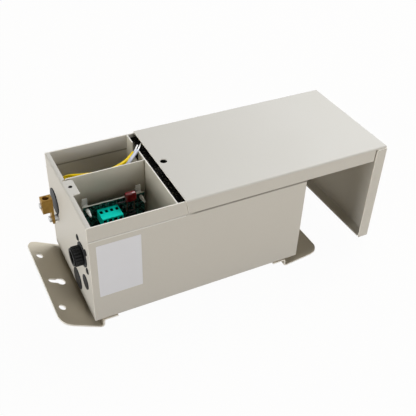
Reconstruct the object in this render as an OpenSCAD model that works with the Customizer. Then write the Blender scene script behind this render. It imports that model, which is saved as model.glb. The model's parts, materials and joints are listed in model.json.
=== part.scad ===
// Wall-mounting power supply box for a pool sanitising cell, lying on its back with the front cover
// slid part of the way off. +X is the way the cover opens, +Z runs from the back of the box to its
// front cover, and the origin is the centre of the back's outer face.

/* [Box] */
// Length of the box, the way the cover slides
box_l = 217.5; // [190:0.5:262]
// Width of the box
box_w = 125; // [118:1:150]
// Height of the box, from its back to the rim under the cover
box_h = 111; // [108:1:134]
// Thickness of the box's and the cover's sheet
sheet = 1.2; // [1:0.1:1.5]
// Outer radius of the bends along the back
bend_r = 2.4; // [2:0.1:4]
// Depth of the strip set in along the rims, which the cover's skirts run on
joggle_depth = 14.7; // [13:0.1:18]
// How far that strip is set in
joggle_in = 0.9; // [0.5:0.1:1.1]
// Depth of the weld flanges inside the box
weld_flange = 9; // [6:0.5:12]
// Depth of the lips along the top of both end panels
lip_d = 4.3; // [3:0.1:6]

/* [Cover] */
// How far the cover is open at rest
cover_open = 90.8; // [0:0.1:110]
// Depth of the cover's skirts, from its top
skirt_d = 14.7; // [12:0.1:15]
// Depth of the flanges round the cover's end flap
flap_flange = 12.6; // [8:0.1:12.6]
// How far the closed cover stands past the left end
cover_lap = 0.5; // [0:0.1:1]
// Clearance over the rim
top_gap = 0.3; // [0.3:0.1:0.8]
// Clearance beside the set-in strips, and of the flap's side flanges
side_gap = 0.4; // [0.3:0.1:0.8]
// Clearance between the closed flap and the end of the box
end_gap = 0.3; // [0.3:0.1:1]
// Clearance between the box's back and the flange that runs under it
under_gap = 0.5; // [0.3:0.1:1]
// Diameter of the screw hole in the cover
cover_hole_d = 7.2; // [4:0.1:8]
// Place of that hole across the box
cover_hole_y = 1.8; // [-3:0.1:3]

/* [Tab] */
// Length of the screw tab, from the left end
tab_l = 10.9; // [9:0.1:14]
// Width of the screw tab
tab_w = 23; // [14:0.5:30]
// Place of the tab's middle across the box
tab_y = -1; // [-3:0.1:3]
// Distance of the tab's screw hole from the left end
tab_hole_x = 6; // [5:0.1:7]
// Diameter of the screw hole in the tab
tab_hole_d = 3.8; // [2.5:0.1:4.5]
// Place of that hole across the box
tab_hole_y = 0; // [-3:0.1:3]
// Length of the neck drawn down under that hole for the screw's thread
tab_neck_l = 2.4; // [1:0.1:4]

/* [Compartments] */
// Distance from the left end to the wall in front of the transformer
bay_l = 83.4; // [82:0.1:90]
// Place of the divider's near face across the box
divider_y = 12.4; // [12:0.1:16]
// Distance from the rim down to the potting
potting_drop = 4; // [3.8:0.1:12]
// Width of the notch in the transformer wall, at the rim
notch_w = 17; // [13:0.5:18]
// Place of the notch's middle across the box
notch_y = 37.3; // [36:0.1:39]
// Depth of the notch
notch_d = 14; // [10:0.5:18]

/* [Transformer] */
// Length of the laminated core along the box
core_l = 96; // [80:1:110]
// Height of the laminated core
core_h = 80; // [68:1:86]
// Stack thickness of the core
core_t = 45; // [36:1:52]
// Width of the core's middle leg
leg_w = 32; // [26:1:34]
// Thickness of the inner winding
primary_t = 7; // [5:0.5:8]
// Thickness of the outer winding
secondary_t = 7; // [5:0.5:8]

/* [Brackets] */
// Thickness of the brackets' sheet
bracket_t = 1.6; // [1.2:0.1:2]
// Inside radius of the brackets' bends
bracket_bend_r = 1.6; // [0.5:0.1:2.5]
// Distance from the box's back down to the brackets' underside
ear_drop = 9.4; // [8:0.1:12]
// Length of an ear from its bend
ear_l = 41.6; // [39:0.1:50]
// Length of the tab welded under the box
base_tab_l = 15; // [10:0.5:20]
// Radius of the ears' free corners
ear_r = 11; // [5:0.5:14]
// How far the left bracket's bend lies in from the left end
left_bend_in = 7; // [5:0.5:12]
// How far the right bracket's bend lies in from the right end
right_bend_in = 12; // [12:0.5:14]
// Upward tilt of the left ear
left_tilt = 28; // [0:1:30]
// Upward tilt of the right ear
right_tilt = 7.5; // [0:0.5:7.5]
// Diameter of the round mounting holes
mount_hole_d = 7; // [5:0.1:8]
// Distance between an ear's two round holes
mount_hole_span = 77.6; // [60:0.1:90]
// Distance of the round holes from the bend, on the left ear
mount_hole_s = 33.1; // [30:0.1:34]
// The same on the right ear
right_hole_s = 20; // [18:0.1:34]
// Width of the keyhole's narrow slot
key_slot_w = 6; // [3.5:0.1:6.5]
// Diameter of the keyhole's wide end
key_head_d = 9.8; // [8:0.1:12]
// Distance of the keyhole's wide end from the bend, to its middle
key_head_s = 22.4; // [18:0.1:24]
// Distance of the end of the keyhole's narrow slot from the bend
key_end_s = 35.3; // [34:0.1:37]

/* [End panel fittings] */
// Diameter of the wide plug's cap
wide_plug_d = 26.4; // [24:0.1:28]
// Place of the wide plug: across the box, and above the back
wide_plug_at = [44, 66];
// Diameter of the middle plug's cap
middle_plug_d = 22.4; // [18:0.1:23]
// Place of the middle plug: across the box, and above the back
middle_plug_at = [-14.3, 13.8];
// Diameter of the narrow plug's cap
narrow_plug_d = 14.8; // [12:0.1:16]
// Place of the narrow plug: across the box, and above the back
narrow_plug_at = [-42.5, 33.9];
// Thickness of the plugs' caps
plug_cap_t = 1; // [0.6:0.1:1.5]
// Place of the outlet connector: across the box, and above the back
outlet_at = [-41, 66.5];
// Diameter of the outlet's barrel
barrel_d = 15.2; // [14:0.1:16]
// Outer diameter of the outlet's coupling ring
ring_d = 18.8; // [18:0.1:20]
// Length of the coupling ring
ring_l = 7.4; // [5:0.1:10]
// Ribs round the coupling ring
ring_ribs = 18; // [12:1:24]
// Running clearance between the coupling ring and the barrel
ring_clear = 0.3; // [0.3:0.05:0.4]
// Diameter of the seal round the outlet
seal_d = 24; // [22:0.1:26]
// Side of the square on which the outlet's four rivets lie
rivet_pitch = 22; // [21:0.1:24]
// Diameter of a rivet's head
rivet_head_d = 6.4; // [4:0.1:7]
// Diameter of a rivet's shank
rivet_d = 4; // [3:0.1:4.5]

/* [Earth lug] */
// Place of the lug's mounting screw: across the box, and above the back
lug_at = [39.5, 49.3];
// Width of the lug
lug_w = 8.6; // [8.4:0.1:10]
// Distance the lug stands off the end panel
lug_standoff = 4.1; // [3:0.1:6]
// Thickness of the lug's tongue
tongue_t = 2.3; // [1.5:0.1:3]
// Length of the tongue below the lug's block
tongue_l = 14.5; // [13:0.1:18]
// Depth of the lug's block away from the end panel
lug_block_d = 10.5; // [10:0.1:12]
// Height of the lug's block
lug_block_h = 15.5; // [12:0.1:18]
// Diameter of the wire hole through the block
lug_hole_d = 6.6; // [5:0.1:6.8]

/* [Circuit board] */
// Length of the board
board_l = 61; // [56:0.5:66]
// Height of the board
board_h = 58; // [50:0.5:60]
// Thickness of the board
board_t = 1.6; // [1:0.1:2]
// Height of the board's top edge above the back
board_top = 82.5; // [76:0.5:90]
// Distance from the left end to the board's middle
board_x = 46; // [44:0.5:47]
// Gap between the divider and the board
board_gap = 9.3; // [6:0.1:10]
// Distance between the standoffs along the board
post_span_x = 53; // [46:0.5:56]
// Distance between the standoffs up the board
post_span_z = 51; // [40:0.5:54]
// Diameter of the standoffs' necks
post_neck_d = 3; // [2.6:0.1:4.5]
// Side of the standoffs' square bodies
post_body = 4.6; // [4:0.1:6]
// The stop plate on each standoff: width, reach above and below the body's middle, thickness
post_plate = [5, 8.6, 3, 1.6];
// Distance of the stop plate from the board
post_plate_in = 4; // [1:0.1:7]
// Pitch of the terminal block's poles
pole_pitch = 5.08; // [5:0.01:5.2]
// Poles of the terminal block
poles = 4; // [2:1:4]
// Distance from the left end to the terminal block
block_x = 28.5; // [26:0.1:30]
// Height of the terminal block's top face above the back
block_top = 76.5; // [70:0.5:78]
// Depth of the terminal block away from the board
block_d = 16.5; // [15:0.1:18]
// Height of the terminal block
block_h = 11; // [10:0.1:13]

/* [Label] */
// Length of the blank label
label_l = 41; // [20:0.5:60]
// Height of the blank label
label_h = 60; // [20:0.5:62]
// Place of the label: from the left end, and above the back
label_at = [6.4, 30];
// Thickness of the label
label_t = 0.2; // [0.1:0.05:0.3]

/* [Leads] */
// Diameter of the leads' insulation
lead_d = 3.5; // [3:0.1:3.6]
// Diameter of the stripped conductors
strand_d = 1.8; // [1.2:0.1:2]

/* [Hidden] */
$fn = 48;
tiny = 0.01;

hw = box_w / 2;
x_left = -box_l / 2;
x_right = box_l / 2;
jog_z = box_h - joggle_depth;
rim_hw = hw - joggle_in;
cover_l = cover_lap + box_l + end_gap + sheet;
cover_x = x_left - cover_lap + cover_open;
cover_z = box_h + top_gap + sheet;
cover_hw = rim_hw + side_gap + sheet;
skirt_z = cover_z - skirt_d;
flap_hw = hw + side_gap + sheet;
flap_z = -under_gap - sheet;
cover_relief = 1.5;
flap_top = box_h;
flap_chamfer = 2.5;
skirt_slope = 3;
corner_gap = 1;
flange_inset = 12;
flange_low = 6;
flange_high = 8;
divider_flange_inset = 16;
wall_x = x_left + bay_l - sheet;
potting_z = box_h - potting_drop;
board_y = divider_y - board_gap - board_t;
board_mid_x = x_left + board_x;
plug_neck_wall = 1.4;
plug_neck_l = 4;
plug_neck_in = 0.9;
tab_corner = 2;
tab_relief_w = 1.6;
notch_taper = 2;
panel_hole_clear = 0.15;
screw_clear = 0.1;
bushing_cap_t = 2;
bushing_d = 8;
bushing_rim = 1.5;
yellow_bushing = [27.5, 24];
white_bushing = [39.5, 24];

// Routes of the leads' middles: from the left end, from the middle, and above the back
yellow_route = [
  [bay_l - sheet - bushing_cap_t, yellow_bushing[0], yellow_bushing[1]],
  [73, 27.5, 24], [65, 28, 22.5], [57, 29, 18.5], [48, 30.5, 12.5], [39, 32.5, 7],
  [30, 34.5, 4], [21, 36.5, 4.6], [13.5, 37.3, 7.4], [8, 37.5, 12.6], [5, 37, 20], [4.4, 35.5, 30],
  [4.4, 33.5, 42], [4.4, 31.5, 55], [4.4, 29.5, 68], [4.4, 28, 80], [4.4, 26.9, 90], [4.8, 26.1, 98],
  [7.4, 24.3, 104.2], [13, 21.5, 106.6], [21, 18.3, 106.9], [30, 16.9, 106.6], [41, 16.3, 106.3],
  [51, 16.9, 106.4], [60.2, 20.3, 106.3], [68.4, 25.5, 105.8], [74.4, 30.5, 105.8], [79.1, 33.7, 107.2]
];
white_route = [
  [bay_l - sheet - bushing_cap_t, white_bushing[0], white_bushing[1]],
  [73, 39.5, 24], [65, 40, 21.5], [57, 41, 16.5], [48, 42.5, 10.5], [39, 44, 5.5],
  [30, 45, 3.6], [21.5, 45.5, 4.6], [14, 45.5, 7.8], [8.6, 45.5, 13], [6, 45.1, 21], [6.2, 44.1, 31],
  [7.6, 42.9, 41], [8.4, 41.1, 50], [8.6, 38.5, 59], [9.4, 35.1, 68.4], [12, 31.7, 77.6],
  [16.6, 28.1, 84.6], [23, 23.9, 90.2], [32, 19.9, 94.2], [41, 17.5, 96.6], [50, 16.1, 99],
  [58.6, 15.7, 102.2], [66, 17.3, 106.4], [72, 21.9, 108.7], [78.8, 28.7, 109.3], [83, 32.7, 109.3]
];
yellow_strand_route = [[79.1, 33.7, 107.2], [80.04, 34.34, 107.48], [86.2, 40.7, 110]];
white_strand_route = [[83, 32.7, 109.3], [83.84, 33.5, 109.3], [91.3, 43.3, 109.3]];

function arc(c, r, from, to, n = 5) =
  [for (i = [0:n]) c + r * [cos(from + (to - from) * i / n), sin(from + (to - from) * i / n)]];

// Outline of the box's inside, seen along X
inside = concat(
  arc([-hw + bend_r, bend_r], bend_r - sheet, 180, 270),
  arc([hw - bend_r, bend_r], bend_r - sheet, 270, 360),
  [[hw - sheet, jog_z - sheet / 2], [rim_hw - sheet, jog_z + joggle_in - sheet / 2],
   [rim_hw - sheet, box_h], [-rim_hw + sheet, box_h],
   [-rim_hw + sheet, jog_z + joggle_in - sheet / 2], [-hw + sheet, jog_z - sheet / 2]]
);
outside = concat(
  arc([-hw + bend_r, bend_r], bend_r, 180, 270),
  arc([hw - bend_r, bend_r], bend_r, 270, 360),
  [[hw, jog_z - joggle_in / 2], [rim_hw, jog_z + joggle_in / 2],
   [rim_hw, box_h], [-rim_hw, box_h], [-rim_hw, jog_z + joggle_in / 2], [-hw, jog_z - joggle_in / 2]]
);

// Extrudes a shape drawn in Y and Z along X
module along_x(x, l) translate([x, 0, 0]) rotate([90, 0, 90]) linear_extrude(l) children();

// A cylinder along X whose middle line passes through at = [y, z]
module rod_x(x, l, d, at) translate([x, at[0], at[1]]) rotate([0, 90, 0]) cylinder(h = l, d = d);

// A box given by its low and high corners
module block(low, high) translate(low) cube(high - low);

module inside_up_to(top) intersection() {
  polygon(inside);
  translate([-hw, 0]) square([box_w, top]);
}

// Flanges along the side walls that a cross panel is welded by; dir says which way they point along X
module side_flanges(x, dir) for (side = [-1, 1])
  block([x + min(0, dir) * weld_flange, side * (hw - 1.5 * sheet) - sheet / 2, bend_r + flange_low],
        [x + max(0, dir) * weld_flange, side * (hw - 1.5 * sheet) + sheet / 2, jog_z - flange_high]);

// The same along the back, from y_from to y_to
module back_flange(x, dir, y_from = -hw + flange_inset, y_to = hw - flange_inset)
  block([x + min(0, dir) * weld_flange, y_from, sheet], [x + max(0, dir) * weld_flange, y_to, 2 * sheet]);

module enclosure_shell() color([0.70, 0.68, 0.64]) along_x(x_left, box_l) difference() {
  polygon(outside);
  polygon(inside);
}

module rivet_places() for (y = [-1, 1], z = [-1, 1])
  translate([0, outlet_at[0] + y * rivet_pitch / 2, outlet_at[1] + z * rivet_pitch / 2]) children();

module left_end_panel() color([0.80, 0.78, 0.74]) difference() {
  union() {
    along_x(x_left, sheet) polygon(inside);
    side_flanges(x_left + sheet, 1);
    back_flange(x_left + sheet, 1, y_to = divider_y - corner_gap);
    back_flange(x_left + sheet, 1, y_from = divider_y + sheet + corner_gap);
    block([x_left, -rim_hw + sheet, box_h - sheet], [x_left + lip_d, rim_hw - sheet, box_h]);
    translate([x_left, tab_y - tab_w / 2, box_h - sheet]) linear_extrude(sheet)
      polygon([[0, 0], [tab_l, 0], [tab_l, tab_w - tab_corner], [tab_l - tab_corner, tab_w], [0, tab_w]]);
    translate([x_left + tab_hole_x, tab_hole_y, box_h - sheet - tab_neck_l])
      cylinder(h = tab_neck_l + sheet / 2, d = tab_hole_d + 2);
  }
  // Relief beside the tab's bend
  block([x_left + sheet, tab_y + tab_w / 2, box_h - 2 * sheet],
        [x_left + lip_d + 1, tab_y + tab_w / 2 + tab_relief_w, box_h + 1]);
  translate([x_left + tab_hole_x, tab_hole_y, box_h - 2 * sheet - tab_neck_l])
    cylinder(h = 3 * sheet + tab_neck_l, d = tab_hole_d);
  rod_x(x_left - 1, sheet + 2, wide_plug_d - 2 * plug_neck_in, wide_plug_at);
  rod_x(x_left - 1, sheet + 2, middle_plug_d - 2 * plug_neck_in, middle_plug_at);
  rod_x(x_left - 1, sheet + 2, narrow_plug_d - 2 * plug_neck_in, narrow_plug_at);
  rod_x(x_left - 1, sheet + 2, barrel_d + 2 * panel_hole_clear, outlet_at);
  rod_x(x_left - 1, sheet + 2, lug_screw_d + 2 * screw_clear, lug_at);
  rivet_places() rod_x(x_left - 1, sheet + 2, rivet_d + 2 * screw_clear, [0, 0]);
}

module right_end_panel() color([0.72, 0.70, 0.66]) {
  along_x(x_right - sheet, sheet) polygon(inside);
  side_flanges(x_right - sheet, -1);
  back_flange(x_right - sheet, -1);
  block([x_right - lip_d, -rim_hw + sheet, box_h - sheet], [x_right, rim_hw - sheet, box_h]);
}

module divider() color([0.55, 0.53, 0.49]) difference() {
  union() {
    block([x_left + sheet, divider_y, sheet], [wall_x, divider_y + sheet, box_h - tiny]);
    for (x = [x_left + sheet, wall_x - sheet])
      block([x, divider_y, divider_flange_inset],
            [x + sheet, divider_y + weld_flange, box_h - divider_flange_inset]);
  }
  post_places() rod_y(divider_y + 2 * sheet, 3 * sheet, post_neck_d + 2 * screw_clear);
  // Corner that leaves room for the lip
  block([x_left, divider_y - 1, box_h - 2 * sheet],
        [x_left + lip_d + corner_gap, divider_y + sheet + tiny, box_h + 1]);
}

module transformer_wall() color([0.60, 0.58, 0.54]) {
  difference() {
    along_x(wall_x, sheet) inside_up_to(box_h - tiny);
    along_x(wall_x - 1, sheet + 2) polygon([
      [notch_y - notch_w / 2, box_h + 1], [notch_y - notch_w / 2, box_h],
      [notch_y - notch_w / 2 + notch_taper, box_h - notch_d],
      [notch_y + notch_w / 2 - notch_taper, box_h - notch_d],
      [notch_y + notch_w / 2, box_h], [notch_y + notch_w / 2, box_h + 1]
    ]);
    for (at = [yellow_bushing, white_bushing])
      rod_x(wall_x - 1, sheet + 2, bushing_d + 2 * screw_clear, at);
  }
  side_flanges(wall_x + sheet, 1);
  back_flange(wall_x + sheet, 1);
}

// What is cut from an ear lying in X and Y, with its bend on the Y axis and its free edge towards +X
module ear_cuts(hole_s) {
  for (side = [-1, 1]) {
    translate([hole_s, side * mount_hole_span / 2]) circle(d = mount_hole_d);
    difference() {
      translate([ear_l - ear_r, side * hw - ear_r]) square([2 * ear_r, 2 * ear_r]);
      translate([ear_l - ear_r, side * (hw - ear_r)]) circle(ear_r);
      translate([ear_l - 3 * ear_r, -hw + ear_r]) square([4 * ear_r, box_w - 2 * ear_r]);
    }
  }
  translate([key_head_s, 0]) circle(d = key_head_d);
  translate([key_head_s, -key_slot_w / 2]) square([key_end_s - key_slot_w / 2 - key_head_s, key_slot_w]);
  translate([key_end_s - key_slot_w / 2, 0]) circle(d = key_slot_w);
}

// A Z-shaped bracket: a tab under the box towards -X, a riser whose face is at x = 0, and an ear
// towards +X that tilts up from the lower bend
module bracket(tilt, hole_s) {
  outer_r = bracket_bend_r + bracket_t;
  upper = [-outer_r, -outer_r];
  lower = [bracket_bend_r, outer_r - ear_drop];
  start = bracket_bend_r * tan(45 - tilt / 2);
  along = [cos(tilt), sin(tilt)];
  below = [sin(tilt), -cos(tilt)];
  difference() {
    translate([0, hw, 0]) rotate([90, 0, 0]) linear_extrude(box_w) polygon(concat(
      [[-base_tab_l, -bracket_t], [-base_tab_l, 0]],
      arc(upper, outer_r, 90, 0), arc(lower, bracket_bend_r, 180, 270 + tilt),
      [lower + bracket_bend_r * below + (ear_l - start) * along],
      [lower + outer_r * below + (ear_l - start) * along],
      arc(lower, outer_r, 270 + tilt, 180), arc(upper, bracket_bend_r, 0, 90)
    ));
    translate([lower[0] + outer_r * below[0], 0, lower[1] + outer_r * below[1]])
      rotate([0, -tilt, 0]) translate([-start, 0, -1]) linear_extrude(bracket_t + 2) ear_cuts(hole_s);
  }
}

module left_bracket() color([0.66, 0.64, 0.58])
  translate([x_left + left_bend_in, 0, 0]) mirror([1, 0, 0]) bracket(left_tilt, mount_hole_s);

module right_bracket() color([0.66, 0.64, 0.58])
  translate([x_right - right_bend_in, 0, 0]) bracket(right_tilt, right_hole_s);

// One skirt of the cover, whose left end slopes back towards its lower edge
module skirt(side) translate([0, side * (cover_hw - sheet / 2) + sheet / 2, 0]) rotate([90, 0, 0])
  linear_extrude(sheet) polygon([[0, cover_z], [skirt_slope, skirt_z],
    [cover_l - flap_flange - cover_relief, skirt_z], [cover_l - flap_flange - cover_relief, cover_z]]);

// One side flange of the cover's end flap, which stands clear of the top and of the skirt beside it
module flap_side(side) translate([0, side * (flap_hw - sheet / 2) + sheet / 2, 0]) rotate([90, 0, 0])
  linear_extrude(sheet) polygon([[cover_l - flap_flange, flap_z], [cover_l, flap_z], [cover_l, flap_top],
    [cover_l - flap_flange + flap_chamfer, flap_top], [cover_l - flap_flange, flap_top - flap_chamfer]]);

module front_cover() color([0.84, 0.83, 0.80]) translate([cover_x, 0, 0]) difference() {
  union() {
    block([0, -cover_hw, cover_z - sheet], [cover_l, cover_hw, cover_z]);
    for (side = [-1, 1]) {
      skirt(side);
      flap_side(side);
    }
    block([cover_l - sheet, -cover_hw, flap_z], [cover_l, cover_hw, cover_z]);
    block([cover_l - sheet, -flap_hw, flap_z], [cover_l, flap_hw, flap_top]);
    block([cover_l - flap_flange, -hw + corner_gap, flap_z], [cover_l, hw - corner_gap, flap_z + sheet]);
  }
  translate([tab_hole_x + cover_lap, cover_hole_y, cover_z - 2 * sheet]) cylinder(h = 3 * sheet, d = cover_hole_d);
}

core_x = (x_left + bay_l + x_right - sheet) / 2;
core_z = sheet + (potting_z - sheet) / 2;
window_w = (core_l - 2 * leg_w) / 2;
window_h = core_h - leg_w;
winding_h = window_h - 2;

// A ring of wire round the middle leg, t thick, lying g outside the leg
module winding(g, t) translate([core_x, 0, core_z]) difference() {
  cube([leg_w + 2 * (g + t), core_t + 2 * (g + t), winding_h], center = true);
  cube([leg_w + 2 * g, core_t + 2 * g, winding_h + 2], center = true);
}

module transformer_core() color([0.35, 0.34, 0.33]) translate([core_x, 0, core_z]) difference() {
  cube([core_l, core_t, core_h], center = true);
  for (side = [-1, 1]) translate([side * (leg_w + window_w) / 2, 0, 0])
    cube([window_w, core_t + 2, window_h], center = true);
}

module primary_winding() color([0.72, 0.40, 0.20]) winding(0, primary_t);

module secondary_winding() color([0.78, 0.46, 0.22]) winding(primary_t, secondary_t);

module potting() color([0.08, 0.08, 0.08]) difference() {
  along_x(wall_x + sheet, x_right - sheet - wall_x - sheet) inside_up_to(potting_z);
  side_flanges(x_right - sheet, -1);
  back_flange(x_right - sheet, -1);
  side_flanges(wall_x + sheet, 1);
  back_flange(wall_x + sheet, 1);
  transformer_core();
  winding(0, primary_t + secondary_t);
  for (at = [yellow_bushing, white_bushing]) rod_x(wall_x, sheet + bushing_cap_t, bushing_d, at);
}

module lead_bushings() color([0.90, 0.90, 0.86]) for (at = [yellow_bushing, white_bushing]) {
  rod_x(wall_x, sheet + bushing_cap_t, bushing_d, at);
  rod_x(wall_x - bushing_cap_t, bushing_cap_t, bushing_d + 2 * bushing_rim, at);
}

// Corners of a tube's ring at point i of a route, which never runs along Y
function unit(v) = v / norm(v);
function way(p, i) = unit(p[min(i + 1, len(p) - 1)] - p[max(i - 1, 0)]);
function ring_at(p, i, r, n) =
  let (t = way(p, i), a = unit(cross(t, [0, 1, 0])), b = cross(t, a))
  [for (k = [0:n - 1]) p[i] + r * (cos(360 * k / n) * a + sin(360 * k / n) * b)];

// A tube of n sides along the points p, with flat ends
module tube(p, d, n = 8) {
  last = (len(p) - 1) * n;
  polyhedron(
    points = [for (i = [0:len(p) - 1]) each ring_at(p, i, d / 2, n)],
    faces = concat(
      [[for (k = [0:n - 1]) k]],
      [for (i = [0:len(p) - 2], k = [0:n - 1])
        [i * n + k, (i + 1) * n + k, (i + 1) * n + (k + 1) % n, i * n + (k + 1) % n]],
      [[for (k = [n - 1:-1:0]) last + k]]
    ),
    convexity = 8
  );
}

function placed(route) = [for (p = route) [x_left + p[0], p[1], p[2]]];

module yellow_lead() color([0.95, 0.76, 0.10]) tube(placed(yellow_route), lead_d);

module white_lead() color([0.86, 0.87, 0.92]) tube(placed(white_route), lead_d);

module stripped_ends() color([0.80, 0.80, 0.80]) {
  tube(placed(yellow_strand_route), strand_d);
  tube(placed(white_strand_route), strand_d);
}

module post_places() for (x = [-1, 1], z = [-1, 1])
  translate([board_mid_x + x * post_span_x / 2, 0, board_top - board_h / 2 + z * post_span_z / 2])
    children();

// A rod along -Y from y, narrowing from d to end_d
module rod_y(y, l, d, end_d = 0) translate([0, y, 0]) rotate([90, 0, 0])
  cylinder(h = l, d1 = d, d2 = end_d > 0 ? end_d : d);

module circuit_board() color([0.02, 0.22, 0.16]) difference() {
  block([board_mid_x - board_l / 2, board_y, board_top - board_h],
        [board_mid_x + board_l / 2, board_y + board_t, board_top]);
  post_places() rod_y(board_y + board_t + 1, board_t + 2, post_neck_d + 2 * screw_clear);
}

// A standoff's snap tip along -Y from y, past a plate it holds
module barb(y) {
  rod_y(y, barb_wide, post_neck_d, barb_d);
  rod_y(y - barb_wide, barb_l, barb_d, barb_tip_d);
}

barb_wide = 1.6;
barb_d = 3.9;
barb_tip_d = 1.7;
barb_l = 8.6;
far_barb_l = 4;
barb_play = 0.4;

module board_standoffs() color([0.88, 0.89, 0.88]) post_places() {
  translate([-post_body / 2, board_y + board_t, -post_body / 2])
    cube([post_body, board_gap, post_body]);
  translate([-post_plate[0] / 2, board_y + board_t + post_plate_in, -post_plate[2]])
    cube([post_plate[0], post_plate[3], post_plate[1] + post_plate[2]]);
  rod_y(divider_y + sheet + barb_play, board_gap + sheet + board_t + 2 * barb_play, post_neck_d);
  barb(board_y - barb_play);
  rod_y(divider_y + sheet + barb_play + barb_wide, barb_wide, barb_d, post_neck_d);
  rod_y(divider_y + sheet + barb_play + barb_wide + far_barb_l, far_barb_l, barb_tip_d, barb_d);
}

block_low = [x_left + block_x, board_y - block_d, block_top - block_h];
block_high = [x_left + block_x + poles * pole_pitch, board_y, block_top];
// Clamp chamber of a pole: floor's height, height, and its reach away from the board
clamp_z = block_top - 7.4;
clamp_h = 3;
clamp_near = 1.5;
clamp_far = 9;
// Screw's distance from the board, and the sides of the well over it, along the block and across it
well_y = 5.4;
well_w = 3;
well_l = 4.2;
entry_w = 3.4;
entry_low = 1.2;
entry_roof = 1.4;
contact_t = 0.8;

module pole_places() for (i = [0:poles - 1])
  translate([block_low[0] + (i + 0.5) * pole_pitch, board_y, 0]) children();

module terminal_block() color([0.05, 0.70, 0.55]) difference() {
  block(block_low, block_high);
  pole_places() {
    block([-well_w / 2, -well_y - well_l / 2, clamp_z + clamp_h],
          [well_w / 2, -well_y + well_l / 2, block_top + 1]);
    // Wire entry in the front face, and the clamp's room behind it
    block([-entry_w / 2, -block_d - 1, clamp_z + entry_low],
          [entry_w / 2, -well_y - well_l / 2 - 0.6, block_top - entry_roof]);
    block([-entry_w / 2, -clamp_far, clamp_z], [entry_w / 2, -clamp_near, clamp_z + clamp_h + tiny]);
  }
}

module terminal_screws() color([0.75, 0.76, 0.77]) pole_places()
  translate([0, -well_y, clamp_z + contact_t]) {
    cylinder(h = clamp_h - contact_t + tiny, d = 2);
    translate([0, 0, clamp_h - contact_t]) difference() {
      cylinder(h = 1.6, d = well_w - 0.3);
      translate([-2, -0.25, 0.9]) cube([4, 0.5, 1]);
    }
  }

module terminal_contacts() color([0.80, 0.72, 0.45]) pole_places()
  block([-1.4, -clamp_far + 0.2, clamp_z], [1.4, -clamp_near - 0.1, clamp_z + contact_t]);

cap_low = [x_left + 54.9, board_y - 7.6, 80.8];
cap_size = [11.4, 6, 9.6];
cap_round = 1;
cap_leg_d = 0.8;
cap_leg_in = 2.2;
cap_leg_l = 11.2;

module film_capacitor() color([0.62, 0.05, 0.05]) translate(cap_low) {
  translate([cap_round, 0, 1.5 * cap_round]) cube(cap_size - cap_round * [2, 0, 3]);
  translate([0, cap_round, 2 * cap_round]) cube(cap_size - cap_round * [0, 2, 4]);
  translate([1.5 * cap_round, cap_round, 0]) cube(cap_size - cap_round * [3, 2, 0]);
}

module film_capacitor_legs() color([0.78, 0.78, 0.78]) for (x = [cap_leg_in, cap_size[0] - cap_leg_in])
  translate(cap_low + [x, cap_size[1] / 2, -cap_leg_l]) {
    cylinder(h = cap_leg_l, d = cap_leg_d);
    sphere(d = cap_leg_d);
    rotate([-90, 0, 0]) cylinder(h = board_y - cap_low[1] - cap_size[1] / 2, d = cap_leg_d);
  }

resistor_d = 2.4;
resistor_l = 6.4;
resistor_leg_d = 0.6;
resistor_leg_x = 4.2;
// Places of the resistors: from the left end, and above the back
resistors_at = [[52.4, 78.2], [62, 66], [62, 62], [62, 58]];

// An axial resistor lying along X in front of the board
module resistor(at) translate([x_left + at[0], board_y - resistor_d / 2 - 0.2, at[1]]) {
  translate([-resistor_l / 2, 0, 0]) rotate([0, 90, 0]) cylinder(h = resistor_l, d = resistor_d);
  for (side = [-1, 1]) translate([side * resistor_leg_x, 0, 0]) {
    rotate([0, -side * 90, 0]) cylinder(h = resistor_leg_x - resistor_l / 2, d = resistor_leg_d);
    sphere(d = resistor_leg_d);
    rotate([-90, 0, 0]) cylinder(h = resistor_d / 2 + 0.2, d = resistor_leg_d);
  }
}

module board_resistors() color([0.70, 0.58, 0.42]) for (at = resistors_at) resistor(at);

// The round capacitors: from the left end, above the back, diameter, length
cans = [[24, 54, 10, 13], [24.5, 41, 8, 11.5]];

module electrolytic_capacitors() color([0.10, 0.11, 0.14]) for (c = cans)
  translate([x_left + c[0], board_y, c[1]]) rotate([90, 0, 0]) cylinder(h = c[3], d = c[2]);

bridge_at = [34, 26];
bridge_size = [28.6, 7.5];
bridge_hole_d = 5;

module bridge_rectifier() color([0.09, 0.09, 0.10])
  translate([x_left + bridge_at[0], board_y, bridge_at[1]]) difference() {
    translate([0, -bridge_size[1], 0]) cube([bridge_size[0], bridge_size[1], bridge_size[0]]);
    translate([bridge_size[0] / 2, 1, bridge_size[0] / 2]) rotate([90, 0, 0])
      cylinder(h = bridge_size[1] + 2, d = bridge_hole_d);
  }

lug_screw_d = 3.6;
lug_head_d = 6.6;
lug_head_t = 2.6;
lug_spacer_d = 7;
lug_nut_d = 8;
lug_nut_t = 2.8;
lug_x = x_left - lug_standoff;
lug_low_z = lug_at[1] - 3.8;
lug_block_z = lug_low_z + tongue_l;
lug_hole_x = lug_x - lug_block_d / 2 - 0.2;
clamp_screw_z = lug_block_z + lug_block_h / 2;
clamp_screw_d = 4;
clamp_head_d = 5.6;
clamp_head_t = 1.8;
clamp_reach = 1.2;
slot_w = 1;
slot_d = 0.8;

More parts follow.
